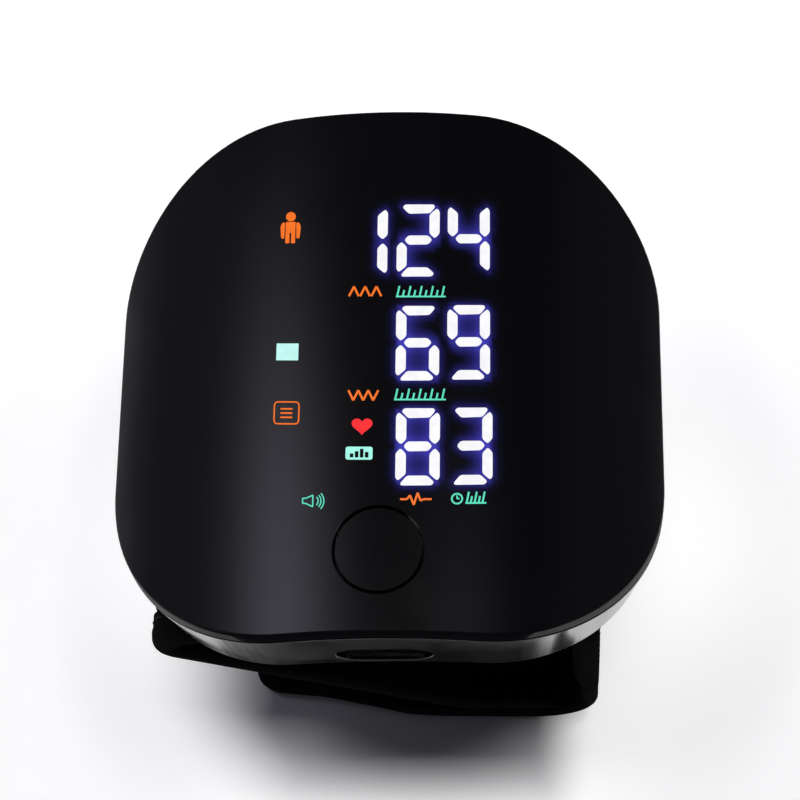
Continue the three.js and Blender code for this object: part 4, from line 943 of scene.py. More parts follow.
CLOCK = (9.2, -17.66)
SPEAKER = [(-9.15, -18.34), (-8.75, -18.34), (-7.9, -18.74), (-7.9, -17.29), (-8.75, -17.69), (-9.15, -17.69)]
HEART, HEART_POINTS = (-2.17, -8.40), 44
clock = [ribbon(arc(*CLOCK, 0.62, 90 + i * 90, 182 + i * 90, 8), 0.2) for i in range(4)]
clock += [bar(CLOCK, (CLOCK[0], CLOCK[1] + 0.4), 0.17), bar(CLOCK, (CLOCK[0] + 0.3, CLOCK[1]), 0.17)]
speaker = [bar(a, b, 0.15) for a, b in zip(SPEAKER, SPEAKER[1:] + SPEAKER[:1])]
speaker += [ribbon(arc(-8.0, -18.01, r, -42, 42, 8), 0.14) for r in (0.75, 1.1, 1.45)]
green_loops = [
    *scale_marks(1.65, 7.7, 8.4, 9),
    *scale_marks(1.6, 7.8, -5.14, 9),
    *clock,
    *scale_marks(10.2, 12.7, -18.32, 5),
    *speaker,
]
show("lit_green_signs", green_loops, lit_green)
heart = []
for t in (2 * math.pi * i / HEART_POINTS for i in range(HEART_POINTS)):
    across = math.sin(t) ** 3
    upward = (13 * math.cos(t) - 5 * math.cos(2 * t) - 2 * math.cos(3 * t) - math.cos(4 * t)) / 17
    heart.append((HEART[0] + 1.26 * across, HEART[1] + 1.28 * upward))
show("lit_heart", [heart], lit_red)
show("lit_block", [box_loop(-13.08, -10.25, 0.04, 2.26, 0.06)], lit_mint)
show("lit_badge", [box_loop(-4.08, -0.85, -12.74, -11.10, 0.3)], lit_leaf)
BAR_FOOT = -12.48
BARS = ((-3.55, 0.5), (-2.95, 0.8), (-2.35, 1.1), (-1.75, 0.7))
bars = [box_loop(s, s + 0.42, BAR_FOOT, BAR_FOOT + tall, 0.06) for s, tall in BARS]
show("badge_bars", bars, face_black, height=2 * PLATE_HEIGHT)

# %% [markdown]
# ## Front panel
# The face is one smoked moulding with a soft edge and a round hole. A bent block with a bevel would do for
# the shape, but the blue haze of the lamps behind it has to be kept on the surface too. So the panel is a
# triangulated sheet with close points over the display, each holding how strongly the lamps shine through.
# Its far left edge is shaded a little flatter than it is bent, as the moulding eases out there.

# %% Panel: sheet with a hole
HOLE_Y, HOLE_R, ROUND_STEPS = -23.9, 5.45, 72
EDGE_ROUND, HOLE_ROUND, UNDERCUT = 0.35, 0.05, 0.25
FLAT_FROM, FLAT_SHARE = -31.0, 0.2
DISPLAY_HALF, DISPLAY_LOW, DISPLAY_HIGH = 17, -21, 24
EDGE_SHARE = [(-180, 0.3), (-60, 0.3), (-25, 1), (25, 1), (60, 0.3), (180, 0.3)]


def button_loop(radius):
    """A circle about the middle of the start button."""
    return circle((0, HOLE_Y), radius, ROUND_STEPS)


def face_direction(x):
    """Direction of the bent face."""
    return Vector((x / FACE_R, 0, math.sqrt(1 - (x / FACE_R) ** 2)))


def shown_direction(x):
    """Direction of the face as it is shown: the far left edge flattens out a little."""
    return face_direction(x if x > FLAT_FROM else FLAT_FROM + (x - FLAT_FROM) * FLAT_SHARE)


def by_direction(nx, ny, table):
    """Reads a table of (direction, value) in degrees: 0 is to the near side, 90 to the right."""
    return float(np.interp(math.degrees(math.atan2(nx, -ny)), *zip(*table)))


edge_share = [by_direction(nx, ny, EDGE_SHARE) for x, y, nx, ny in STATIONS]


def edge_ring(inset, depth):
    """A ring of the panel's rounded edge, which is fullest along the near side."""
    points = []
    for (x, y, nx, ny), share in zip(STATIONS, edge_share):
        share = 1 if depth > EDGE_ROUND else share
        px, py = x - nx * inset * share, y - ny * inset * share
        points.append((px, py, face_z(px, depth * share)))
    return points


panel_edge = [(x, y) for x, y, z in edge_ring(EDGE_ROUND, 0)]
panel_hole = button_loop(HOLE_R + HOLE_ROUND)
wide = grid(-33, 33, -33, 33, 1.5)
close = grid(-DISPLAY_HALF, DISPLAY_HALF, DISPLAY_LOW, DISPLAY_HIGH, 0.62)
over_display = np.abs(wide[:, 0]) < DISPLAY_HALF + 0.4
over_display &= (wide[:, 1] > DISPLAY_LOW - 0.4) & (wide[:, 1] < DISPLAY_HIGH + 0.4)
loose = np.vstack([wide[~over_display], close])
loose = loose[inside(panel_edge, loose) & ~inside(button_loop(HOLE_R + HOLE_ROUND + 0.3), loose)]
loose = loose[(clearance(panel_edge, loose) > 0.6) & (clearance(panel_hole, loose) > 0.3)]
loose = [tuple(p) for p in loose]
panel_flat = [*panel_edge, *panel_hole, *loose]
panel = Making()
top = panel.ring([(x, y, face_z(x)) for x, y in panel_flat], [shown_direction(x) for x, y in panel_flat])
under = panel.ring(
    [(x, y, face_z(x, PANEL)) for x, y in panel_flat], [-face_direction(x) for x, y in panel_flat]
)
for triangle in sheet_triangles(panel_edge, [panel_hole], loose):
    panel.faces += [tuple(top[i] for i in triangle), tuple(under[i] for i in reversed(triangle))]
print("panel sheet:", len(panel_flat), "points a side")

# %% Panel: rounded edges
CRISP = math.radians(18)
EDGE_LEAN = [(-180, -24), (-30, -24), (-10, -42), (12, -42), (26, -26), (180, -24)]
FOOT_LEAN = 3


def leaning(nx, ny, lean):
    """Outward direction of a side that leans in towards its foot by so many degrees, or out below zero."""
    lean = math.radians(lean)
    return Vector((nx * math.cos(lean), ny * math.cos(lean), -math.sin(lean)))


def round_over(making, at, outward, radius, steps):
    """Rings over a rounded edge, from the face to its side; at(inset, depth) gives a ring's points."""
    rings = []
    for left, gone in [(1, 0), *quarter_round(steps)]:
        points = at(radius * left, radius * gone)
        turn = CRISP + (math.pi / 2 - CRISP) * len(rings) / steps
        facing = []
        for point, out in zip(points, outward):
            facing.append((face_direction(point[0]) * math.cos(turn) + out * math.sin(turn)).normalized())
        rings.append(making.ring(points, facing))
    return rings


def rim(at, outward, foot, radius, steps, underside):
    """A rounded edge of the panel, its side and the join to the underside."""
    rings = round_over(panel, at, outward, radius, steps)
    rings.append(panel.ring(at(0, PANEL - UNDERCUT), foot))
    panel.stack([underside, *reversed(rings)])


edge_leans = [by_direction(nx, ny, EDGE_LEAN) for x, y, nx, ny in STATIONS]
edge_out = [leaning(nx, ny, lean) for (x, y, nx, ny), lean in zip(STATIONS, edge_leans)]
edge_foot = [leaning(nx, ny, lean + FOOT_LEAN) for (x, y, nx, ny), lean in zip(STATIONS, edge_leans)]
rim(edge_ring, edge_out, edge_foot, EDGE_ROUND, 6, under[: len(panel_edge)])


def hole_ring(inset, depth):
    """A ring of the hole's rounded edge, the other way round than the outline."""
    return [(x, y, face_z(x, depth)) for x, y in button_loop(HOLE_R + inset)[::-1]]


hole_in = [Vector((-x, HOLE_Y - y, 0)).normalized() for x, y in panel_hole][::-1]
hole_under = under[len(panel_edge) : len(panel_edge) + len(panel_hole)][::-1]
rim(hole_ring, hole_in, hole_in, HOLE_ROUND, 4, hole_under)
face_panel = dress(panel, "face_panel", face_black, stands_for=["front_panel"])

# %% Haze of the lamps
CELL_HALF, CELL_MIDDLE, CELL_FADE = (2.5, 4.75), 4.9, 0.5
RIM_HAZE, RIM_REACH = 0.18, 0.28
CELL_HAZE, CELL_FROM = 0.28, 0.6
spots = np.array(panel.points)
arc_place = np.column_stack([np.arcsin(np.clip(spots[:, 0] / FACE_R, -1, 1)) * FACE_R, spots[:, 1]])
arc_place[:, 1] -= board_row(arc_place[:, 0])
rim_haze, cell_haze = np.zeros(len(spots)), np.zeros(len(spots))
for figure in FIGURES:
    middle = np.array((figure[1] + FIGURE_WIDTH / 2, figure[2] + CELL_MIDDLE))
    outside = np.maximum(np.abs(arc_place - middle) - CELL_HALF, 0).max(axis=1)
    in_cell = np.clip(1 - outside / CELL_FADE, 0, 1)
    for stroke in placed_strokes(*figure):
        ends = np.array(resampled(stroke, 0.35))
        near = clearance(ends, arc_place)
        near[inside(ends, arc_place)] = 0
        rim_haze = np.maximum(rim_haze, RIM_HAZE * np.exp(-near / RIM_REACH))
        cell_haze += np.exp(-near) * in_cell
haze = np.maximum(rim_haze, CELL_HAZE * np.maximum(cell_haze - CELL_FROM, 0))
haze[len(panel_flat) :] = 0
glow_layer = face_panel.data.attributes.new("lamp_glow", "FLOAT", "POINT")
glow_layer.data.foreach_set("value", np.clip(haze, 0, 1).astype(np.float32))
print("haze, strongest:", round(float(haze.max()), 2))

# %% [markdown]
# ## Start button
# A flush cap with the same satin finish as the face sits in a narrow ring-shaped gap. It is made in rings
# from its middle outwards, over a small round edge, down its side and under its hidden flange.

# %% Start button
button_low, button_high = frame_box("start_button")
CAP_R, CAP_ROUND, STEM_R = 5.1, 0.05, 1.7
FLANGE_R, FLANGE_THICK = button_high[0], 1
FLANGE_TOP = face_z(FLANGE_R, PANEL) - SEAM
FLANGE_LOW, STEM_LOW = FLANGE_TOP - FLANGE_THICK, button_low[2]
UP, DOWN = [(0, 0, 1)] * ROUND_STEPS, [(0, 0, -1)] * ROUND_STEPS
out = [Vector((x, y - HOLE_Y, 0)).normalized() for x, y in button_loop(1)]
cap = Making()
rings = []
for radius in (1.0, 2.0, 3.0, 4.0, CAP_R - CAP_ROUND):
    loop = button_loop(radius)
    rings.append(cap.ring([(x, y, face_z(x)) for x, y in loop], [face_direction(x) for x, y in loop]))
cap.stack(rings[::-1])
(hub,) = cap.ring([(0, HOLE_Y, face_z(0))], UP[:1])
cap.faces += [(a, b, hub) for a, b in zip(rings[0], rings[0][1:] + rings[0][:1])]


def cap_ring(inset, depth):
    """A ring of the cap's rounded edge."""
    return [(x, y, face_z(x, depth)) for x, y in button_loop(CAP_R - inset)]


def level_ring(radius, z, facing):
    """A flat ring about the button's middle."""
    return cap.ring([(x, y, z) for x, y in button_loop(radius)], facing)


rings = round_over(cap, cap_ring, out, CAP_ROUND, 5)
cap.stack([level_ring(CAP_R, FLANGE_TOP, out), *reversed(rings)])
for facing, inner, outer in (
    (UP, (CAP_R, FLANGE_TOP), (FLANGE_R, FLANGE_TOP)),
    (out, (FLANGE_R, FLANGE_TOP), (FLANGE_R, FLANGE_LOW)),
    (DOWN, (FLANGE_R, FLANGE_LOW), (STEM_R, FLANGE_LOW)),
    (out, (STEM_R, FLANGE_LOW), (STEM_R, STEM_LOW)),
):
    cap.join(level_ring(*outer, facing), level_ring(*inner, facing))
last = level_ring(STEM_R, STEM_LOW, DOWN)
(hub,) = cap.ring([(0, HOLE_Y, STEM_LOW)], DOWN[:1])
cap.faces += [(b, a, hub) for a, b in zip(last, last[1:] + last[:1])]
dress(cap, "start_cap", face_black, body="button", stands_for=["start_button"])

# %% [markdown]
# ## Case wall
# The polished wall leans in from the seam under the face to the back, with a soft lower edge. It mirrors the
# table, so a degree of lean moves its bright and dark bands a long way, and real mouldings sink and swell by
# such amounts. The points keep to the plain wall. A table gives the directions it is shaded with along the
# near side, at the top and at the foot, and the finish leaves them uncorrected. Round the charging window
# the quads are left out and filled by a triangulated patch with the window's hole, for a clean rounded lip.

# %% Wall: sizes and directions
SOCKET_Z = CROWN - 8.3 - 1.2 - SEAM - 1.6
WINDOW_HALF, WINDOW_R, LIP = 5.85, 3.15, 0.07
WINDOW_Z = SOCKET_Z - 0.75
WINDOW_STEPS = 14
RIM = PANEL + SEAM
TOP_ROUND, FOOT_ROUND = 0.12, 1.3
PATCH_X, PATCH_TOP, PATCH_FOOT = 8.8, 3, 11
HEIGHTS = [0.0, 0.1, 0.2, 0.28, 0.36, 0.44, 0.52, 0.6, 0.68, 0.76, 0.84, 0.89]
FAR_LEAN = 5.6
LEAN_FROM, LEAN_SPAN = 0.1, 0.65
NEAR_LEAN = [  # place along the near side (mm), lean at the top, lean at the foot (degrees)
    (-34.0, 4.0, 4.0), (-31.0, 1.0, 1.5), (-28.2, -1.0, 1.5), (-26.6, -1.0, 5.0), (-24.8, 0.0, 7.0),
    (-23.8, 2.0, 8.0), (-22.8, 4.0, 8.6), (-21.8, 5.0, 9.4), (-20.7, 7.4, 10.2), (-19.6, 9.0, 10.6),
    (-18.5, 10.2, 11.2), (-17.4, 10.6, 11.4), (-16.3, 11.1, 11.5), (-15.1, 11.5, 11.7), (-13.9, 11.7, 11.8),
    (-12.8, 12.0, 12.1), (-10.0, 12.3, 12.2), (-4.0, 12.2, 12.2), (11.6, 11.6, 11.6), (15.1, 11.9, 11.9),
    (17.4, 12.0, 12.0), (18.5, 10.7, 11.0), (19.6, 9.6, 10.1), (20.5, 9.0, 9.8), (21.1, 10.6, 11.2),
    (21.9, 11.0, 11.2), (22.5, 8.0, 10.2), (23.4, 8.0, 8.4), (24.8, 7.5, 7.5), (26.6, 5.6, 5.6),
    (34.0, FAR_LEAN, FAR_LEAN),
]


def wall_facing(x, nx, ny, h):
    """Outward direction of the wall: it leans in most along the near side and least at the corners."""
    if ny >= 0:
        return leaning(nx, ny, FAR_LEAN)
    places, tops, feet = zip(*NEAR_LEAN)
    share = min(max((h - LEAN_FROM) / LEAN_SPAN, 0), 1)
    at_top, at_foot = (float(np.interp(x, places, leans)) for leans in (tops, feet))
    return leaning(nx, ny, at_top * (1 - share) + at_foot * share)


def on_wall(loop, h):
    """Points of the wall over a loop of the outline: h runs from 0 at the seam to 1 at the foot."""
    return [(x, y, face_z(x, RIM) * (1 - h) + back_z(x) * h) for x, y in loop]


def height_at(x, z):
    """The wall's h at a height z."""
    return (face_z(x, RIM) - z) / (face_z(x, RIM) - back_z(x))


def window_loop(grow):
    """The charging window, widened by grow."""
    loop = slot_loop(WINDOW_HALF + grow, WINDOW_R + grow, WINDOW_STEPS)
    return [(x, WINDOW_Z + z) for x, z in loop]


def on_near_wall(loop, inward):
    """A loop of the near side, laid on the leaning wall or behind its surface."""
    return [(x, -CASE_HALF + LEAN * height_at(x, z) + inward, z) for x, z in loop]


FIRST_H = TOP_ROUND / (face_z(0, RIM) - back_z(0))
rows_h = [FIRST_H + h * (1 - FIRST_H) for h in HEIGHTS]
patch_stations = [i for i, (x, y, nx, ny) in enumerate(STATIONS) if ny == -1 and abs(x) <= PATCH_X]
patch_stations.sort(key=lambda i: STATIONS[i][0])
border = [(PATCH_TOP, i) for i in patch_stations]
border += [(r, patch_stations[-1]) for r in range(PATCH_TOP + 1, PATCH_FOOT)]
border += [(PATCH_FOOT, i) for i in reversed(patch_stations)]
border += [(r, patch_stations[0]) for r in range(PATCH_FOOT - 1, PATCH_TOP, -1)]
print("window at", round(WINDOW_Z, 2), "mm, patch border of", len(border), "points")

# %% Wall: both sides with the window
FLAT_STRETCH = 10
wall = Making()
sides, lips = {}, {}
for side, inward in (("outer", 0.0), ("inner", WALL)):
    shown = side == "outer"
    rows = []
    for h in rows_h:
        facing = [wall_facing(x, nx, ny, h) for x, y, nx, ny in STATIONS] if shown else None
        rows.append(wall.ring(on_wall(outline(LEAN * h + inward), h), facing))
    for r, (upper, lower) in enumerate(zip(rows, rows[1:])):
        for i in range(len(STATIONS)):
            j = (i + 1) % len(STATIONS)
            if PATCH_TOP <= r < PATCH_FOOT and i in patch_stations and j in patch_stations:
                continue
            quad = (upper[j], upper[i], lower[i], lower[j])
            wall.faces.append(quad if shown else quad[::-1])
    lip = window_loop(LIP)
    edge = [(STATIONS[i][0], rows_h[r] * FLAT_STRETCH) for r, i in border]
    hole = [(x, height_at(x, z) * FLAT_STRETCH) for x, z in lip]
    lip_facing = [wall_facing(x, 0, -1, height_at(x, z)) for x, z in lip] if shown else None
    sides[side], lips[side] = rows, wall.ring(on_near_wall(lip, inward), lip_facing)
    known = [rows[r][i] for r, i in border] + lips[side]
    for triangle in sheet_triangles(edge, [hole], []):
        face = tuple(known[i] for i in triangle)
        wall.faces.append(face[::-1] if shown else face)
print("wall sides:", len(wall.faces), "faces")

# %% Wall: lip, top and foot
lip_rings = [wall.ring(on_near_wall(window_loop(LIP * left), LIP * gone)) for left, gone in quarter_round(4)]
wall.stack([lips["outer"], *lip_rings, lips["inner"]])
top_rings = [
    wall.ring(on_wall(outline(TOP_ROUND * gone), FIRST_H * left)) for left, gone in quarter_round(3)
]
wall.stack([sides["outer"][0], *top_rings, sides["inner"][0]])
foot_rings = []
for left, gone in quarter_round(6):
    h = 1 - (1 - rows_h[-1]) * left
    foot_rings.append(wall.ring(on_wall(outline(LEAN * h + FOOT_ROUND * gone), h)))
foot_rings.append(wall.ring(on_wall(outline(LEAN + WALL), 1)))
wall.stack([sides["inner"][-1], *reversed(foot_rings), sides["outer"][-1]])
dress(wall, "case_wall", case_black, stands_for=["front_case"], sharp=50)

# %% [markdown]
# ## Charging socket
# Behind the window sits a drawn steel shell with a tongue that carries two rows of contacts. The shell is a
# stack of rounded slots: over its rim, back along its inside and closed at the rear. A dark moulded pocket
# runs from the window to the shell, so that nothing shows past it.

# %% Charging socket
socket_low, socket_high = frame_box("charge_socket")
front, rear = socket_low[1], socket_high[1]
SHELL_HALF, SHELL_R, SHELL_THICK = socket_high[0], (socket_high[2] - socket_low[2]) / 2, 0.35
TONGUE_HALF, TONGUE_R = 3.3, 0.35
SEAT, POCKET_THICK = front + 0.3, 0.5
CONTACTS, CONTACT_PITCH = 10, 0.5
CONTACT_FRONT, CONTACT_REAR = front + 1.3, rear - 1.2


def slot_ring(half_width, radius, y, steps=12):
    """A ring of the socket at a depth y."""
    return [(x, y, SOCKET_Z + z) for x, z in slot_loop(half_width, radius, steps)]


shell = Making()
SHELL_PROFILE = [  # inset, depth: along the outside, over the rim and back inside
    (0, rear), (0, front + 0.2), (0.06, front + 0.05), (0.17, front), (0.29, front + 0.05),
    (SHELL_THICK, front + 0.2), (SHELL_THICK, rear - 0.7),
]
shell.closed_stack([shell.ring(slot_ring(SHELL_HALF - i, SHELL_R - i, y)) for i, y in SHELL_PROFILE])
dress(shell, "socket_shell", finishes["steel"], stands_for=["charge_socket"], sharp=40)

pocket = Making()
mouth, rim_loop = window_loop(0), window_loop(POCKET_THICK)
rings = [
    pocket.ring(loop)
    for loop in (
        on_near_wall(mouth, WALL),
        [(x, SEAT, z) for x, z in mouth],
        slot_ring(SHELL_HALF, SHELL_R, SEAT, WINDOW_STEPS),
        slot_ring(SHELL_HALF, SHELL_R, SEAT + POCKET_THICK, WINDOW_STEPS),
        [(x, SEAT + POCKET_THICK, z) for x, z in rim_loop],
        on_near_wall(rim_loop, WALL),
    )
]
pocket.stack([*rings, rings[0]])
dress(pocket, "socket_pocket", inner_black, sharp=40)

tongue = Making()
TONGUE_PROFILE = [(0, rear - 0.8), (0, front + 1.1), (0.08, front + 0.92), (0.22, front + 0.85)]
tongue.closed_stack([tongue.ring(slot_ring(TONGUE_HALF - i, TONGUE_R - i, y)) for i, y in TONGUE_PROFILE])
dress(tongue, "socket_tongue", finishes["chip_black"], sharp=40)

CONTACT_PROFILE = [(0.13, 0.33), (0.13, 0.38), (0.09, 0.4)]  # half width, height over the tongue's middle
contacts = Making()
for x in (CONTACT_PITCH * (i - (CONTACTS - 1) / 2) for i in range(CONTACTS)):
    for face in (1, -1):
        rings = []
        for grow, z in CONTACT_PROFILE:
            corners = [(x - grow, CONTACT_FRONT), (x + grow, CONTACT_FRONT)]
            corners += [(x + grow, CONTACT_REAR), (x - grow, CONTACT_REAR)]
            rings.append(contacts.ring([(px, py, SOCKET_Z + face * z) for px, py in corners[::face]]))
        contacts.stack(rings)
        contacts.faces.append(tuple(rings[-1]))
dress(contacts, "socket_contacts", finishes["copper"], sharp=40)

# %% [markdown]
# ## Back plate
# The grained back closes the case inside the foot of the wall. Four screws sit in round wells in it.

# %% Back plate
BACK_THICK, BACK_ROUND, BACK_INSET = 1.6, 0.4, LEAN + WALL + SEAM
WELL_R, WELL_LIP, WELL_DEEP, WELL_STEPS = 2.2, 0.2, 2.1, 28
BORE_R, BOSS_R, BOSS_TALL = 1.1, 2.5, 1.3
screw_spots = [np.mean(frame_box(f"case_screw_{i}"), axis=0)[:2] for i in range(1, 5)]
back_edge = outline(BACK_INSET + BACK_ROUND)
wells = [circle(spot, WELL_R + WELL_LIP, WELL_STEPS) for spot in screw_spots]
loose = grid(-30, 30, -30, 30, 2.5)
loose = loose[inside(back_edge, loose) & (clearance(back_edge, loose) > 1)]
for spot in screw_spots:
    loose = loose[np.hypot(loose[:, 0] - spot[0], loose[:, 1] - spot[1]) > WELL_R + 1]
loose = [tuple(p) for p in loose]
flat_points = [*back_edge, *[p for well in wells for p in well], *loose]
plate = Making()
low_side = plate.ring([(x, y, back_z(x)) for x, y in flat_points])
high_side = plate.ring([(x, y, back_z(x, BACK_THICK)) for x, y in flat_points])
for triangle in sheet_triangles(back_edge, wells, loose):
    plate.faces += [tuple(low_side[i] for i in reversed(triangle)), tuple(high_side[i] for i in triangle)]
rings = []
for left, gone in quarter_round(4):
    loop = outline(BACK_INSET + BACK_ROUND * left)
    rings.append(plate.ring([(x, y, back_z(x, BACK_ROUND * gone)) for x, y in loop]))
plate.stack([low_side[: len(back_edge)], *rings, high_side[: len(back_edge)]])
for n, spot in enumerate(screw_spots):
    span = slice(len(back_edge) + n * WELL_STEPS, len(back_edge) + (n + 1) * WELL_STEPS)
    seat = back_z(spot[0]) + WELL_DEEP
    rings = [plate.ring([(x, y, back_z(x) + WELL_LIP) for x, y in circle(spot, WELL_R, WELL_STEPS)])]
    for radius, z in ((WELL_R, seat), (BORE_R, seat), (BORE_R, seat + BOSS_TALL), (BOSS_R, seat + BOSS_TALL)):
        rings.append(plate.ring([(x, y, z) for x, y in circle(spot, radius, WELL_STEPS)]))
    plate.stack([high_side[span], *reversed(rings), low_side[span]])
dress(plate, "back_plate", inner_black, stands_for=["back_cover"], sharp=45)

# %% [markdown]
# ## The line of the cuff
# The cuff is one strap that runs from the end of its flap along the table, up the right arm, over the top
# under the case, round the left fold and down a sloping tail to where the two ends meet. Every cuff piece is
# a section drawn along this line, so the line is worked out first, from straight runs and left turns.

# %% The line of the cuff
PLATE_GAP = 2 * SEAM + 1.2
TOP_R = BACK_R - PLATE_GAP
ARM_X, SHOULDER_R, FOLD_X, FOLD_R = 25.9, 8.0, 31.2, 4.6
TAIL_R, TAIL_FLAT, TAIL_GAP = 8.0, 11.0, 1.9
FLAP_END, FLAP_CORNER, HINGE_Z = -20.5, 8.5, 14.0
CUFF_HALF, CUFF_THICK, FLAP_THICK = 27.0, 3.2, 2.2
TAIL_Z = FLAP_THICK + 0.9 + 0.7 + 3 * SEAM

shoulder_x = ARM_X - SHOULDER_R
shoulder_reach = TOP_R - SHOULDER_R
shoulder_z = BACK_AXIS + math.sqrt(shoulder_reach**2 - shoulder_x**2)
shoulder_turn = math.pi / 2 - math.asin(shoulder_x / shoulder_reach)
fold_reach = TOP_R - FOLD_R
fold_lean = math.asin((FOLD_X - FOLD_R) / fold_reach)
top_turn = math.pi / 2 - shoulder_turn + fold_lean
fold_z = BACK_AXIS + fold_reach * math.cos(fold_lean)
tail_across = ARM_X - CUFF_THICK - TAIL_GAP - TAIL_FLAT - (FOLD_R - FOLD_X)
tail_drop = fold_z - TAIL_Z - TAIL_R
tail_reach = math.hypot(tail_across, tail_drop)
tail_slope = math.atan2(tail_drop, tail_across) + math.asin((TAIL_R - FOLD_R) / tail_reach)
tail_run = math.sqrt(tail_reach**2 - (TAIL_R - FOLD_R) ** 2)
fold_turn = math.pi - fold_lean - tail_slope
flap_run = ARM_X - FLAP_CORNER - FLAP_END
CUFF_STEPS = [  # length, radius of the turn or None for a straight run
    (flap_run, None),
    (FLAP_CORNER * math.pi / 2, FLAP_CORNER),
    (shoulder_z - FLAP_CORNER, None),
    (SHOULDER_R * shoulder_turn, SHOULDER_R),
    (TOP_R * top_turn, TOP_R),
    (FOLD_R * fold_turn, FOLD_R),
    (tail_run, None),
    (TAIL_R * tail_slope, TAIL_R),
    (TAIL_FLAT, None),
]
HINGE_AT = flap_run + FLAP_CORNER * math.pi / 2 + HINGE_Z - FLAP_CORNER
CUFF_END = sum(length for length, radius in CUFF_STEPS)
FOLD_AT = sum(length for length, radius in CUFF_STEPS[:5]) + FOLD_R * fold_turn / 2


def cuff_at(along):
    """Place and heading of the outside of the cuff after a length along it from the flap's end."""
    x, z, heading, left = FLAP_END, 0.0, 0.0, along
    for n, (length, radius) in enumerate(CUFF_STEPS):
        gone = left if n == len(CUFF_STEPS) - 1 or n == 0 and left < 0 else min(left, length)
        if radius is None:
            x += gone * math.cos(heading)
            z += gone * math.sin(heading)
        else:
            t = gone / radius
            x += radius * (math.sin(heading + t) - math.sin(heading))
            z += radius * (math.cos(heading) - math.cos(heading + t))
            heading += t
        left -= gone
        if left <= 0:
            break
    return x, z, heading


def cuff_stations(start, stop, pitch=2.0, turn_pitch=8.0):
    """Lengths along the cuff, close together where it bends sharply."""
    marks, begin = [start], 0.0
    for length, radius in CUFF_STEPS:
        low, high = max(start, begin), min(stop, begin + length)
        if high > low:
            step = pitch if radius is None else min(pitch, radius * math.radians(turn_pitch))
            count = max(1, math.ceil((high - low) / step))
            marks += [low + (high - low) * (i + 1) / count for i in range(count)]
        begin += length
    return marks


def on_cuff(at, across, inset):
    """A point of the strap at a place of its line: inset is measured from the outside inwards."""
    x, z, heading = at
    return (x - inset * math.sin(heading), across, z + inset * math.cos(heading))


print(f"cuff line {CUFF_END:.1f} mm, hinge at {HINGE_AT:.1f}, fold at {FOLD_AT:.1f}")

# %% [markdown]
# ## Cuff: cover, lining and edge tapes
# Fabric is soft, so no section is a plain rectangle. The cover has a slight crown and dips under the tapes,
# puckers where it turns round the tight left fold, and thins towards its ends. A cloth simulation would move
# the strap out of the space it has between case and table, so these shapes are put in directly.

# %% Softness of the strap
FOLD_SPREAD = 6.5
rng = random.Random(7)
puckers = [(rng.uniform(-26, 26), rng.uniform(1.2, 3.0), rng.uniform(-0.3, 0.3)) for _ in range(26)]
puckers += [(-24.6, 1.0, 0.34), (-21.6, 0.9, -0.3), (-19.2, 1.1, 0.28), (-16.3, 1.3, -0.22)]


def limited(value, low, high):
    """A value held between low and high."""
    return max(low, min(high, value))


def smooth(t):
    """A soft step from 0 to 1."""
    t = limited(t, 0.0, 1.0)
    return t * t * (3 - 2 * t)


def pucker(along, across):
    """How far the outside lifts at the fold, in small ridges that run along the strap."""
    near_fold = math.exp(-(((along - FOLD_AT) / FOLD_SPREAD) ** 2))
    if near_fold < 0.01:
        return 0.0
    return near_fold * sum(h * math.exp(-(((across - c) / w) ** 2)) for c, w, h in puckers)


def ripple(along, across):
    """Slow unevenness of padded cloth."""
    slow = math.sin(along / 7.3 + across / 11.0) * math.sin(across / 6.1 + 0.4)
    return 0.10 * slow + 0.05 * math.sin(along / 3.1 - across / 5.0)


def settle(along, inset):
    """Thins the strap towards its two ends: it meets the thinner flap, and closes at the tail."""
    at_flap = 0.69 + 0.31 * smooth((along - HINGE_AT) / 5)
    at_tail = 0.45 + 0.55 * smooth((CUFF_END - along) / 3.0)
    middle = CUFF_THICK / 2
    return middle + (inset * at_flap - middle) * at_tail


def draw_along(marks, section, name, material, stands_for, body="body", sharp=None):
    """Draws a closed section of (across, inset) points along the cuff line."""
    making = Making()
    rings = []
    for along in marks:
        at, loop = cuff_at(along), section(along)
        cloth = [(along * MM, (y + 0.35 * inset) * MM) for y, inset in loop]
        rings.append(making.ring([on_cuff(at, y, inset) for y, inset in loop], cloth=cloth))
    making.closed_stack(rings[::-1])
    return dress(making, name, material, body=body, stands_for=stands_for, sharp=sharp)


print("puckers at the fold:", len(puckers))

# %% Cover and lining
CLOTH_HALF, TAPE_EDGE = 26.3, 21.6
COVER_IN, LINING_OUT = 0.82, 2.55
loop_marks = cuff_stations(HINGE_AT + 0.15, CUFF_END, 1.6, 7.0)
under_near = np.linspace(-CLOTH_HALF, -22.2, 7)
cloth_across = np.concatenate([under_near, np.linspace(-21.4, 21.4, 44), np.linspace(22.2, CLOTH_HALF, 7)])
hidden_across = np.linspace(CLOTH_HALF, -CLOTH_HALF, 12)


def under_tape(across):
    """The dip of the cloth under an edge tape."""
    return 0.36 * smooth((abs(across) - TAPE_EDGE) / 0.9)


def cover_section(along):
    """The cover: a crowned, uneven outside and a plain hidden side."""
    outer = []
    for y in cloth_across:
        lift = (pucker(along, y) + ripple(along, y)) * (1 - smooth((abs(y) - 20.5) / 1.5) * 0.4)
        crown = 0.12 * (1 - (y / CUFF_HALF) ** 2)
        outer.append((y, settle(along, 0.1 + under_tape(y) - limited(lift, -0.15, 0.5) - crown)))
    return (outer + [(y, settle(along, COVER_IN)) for y in hidden_across])[::-1]


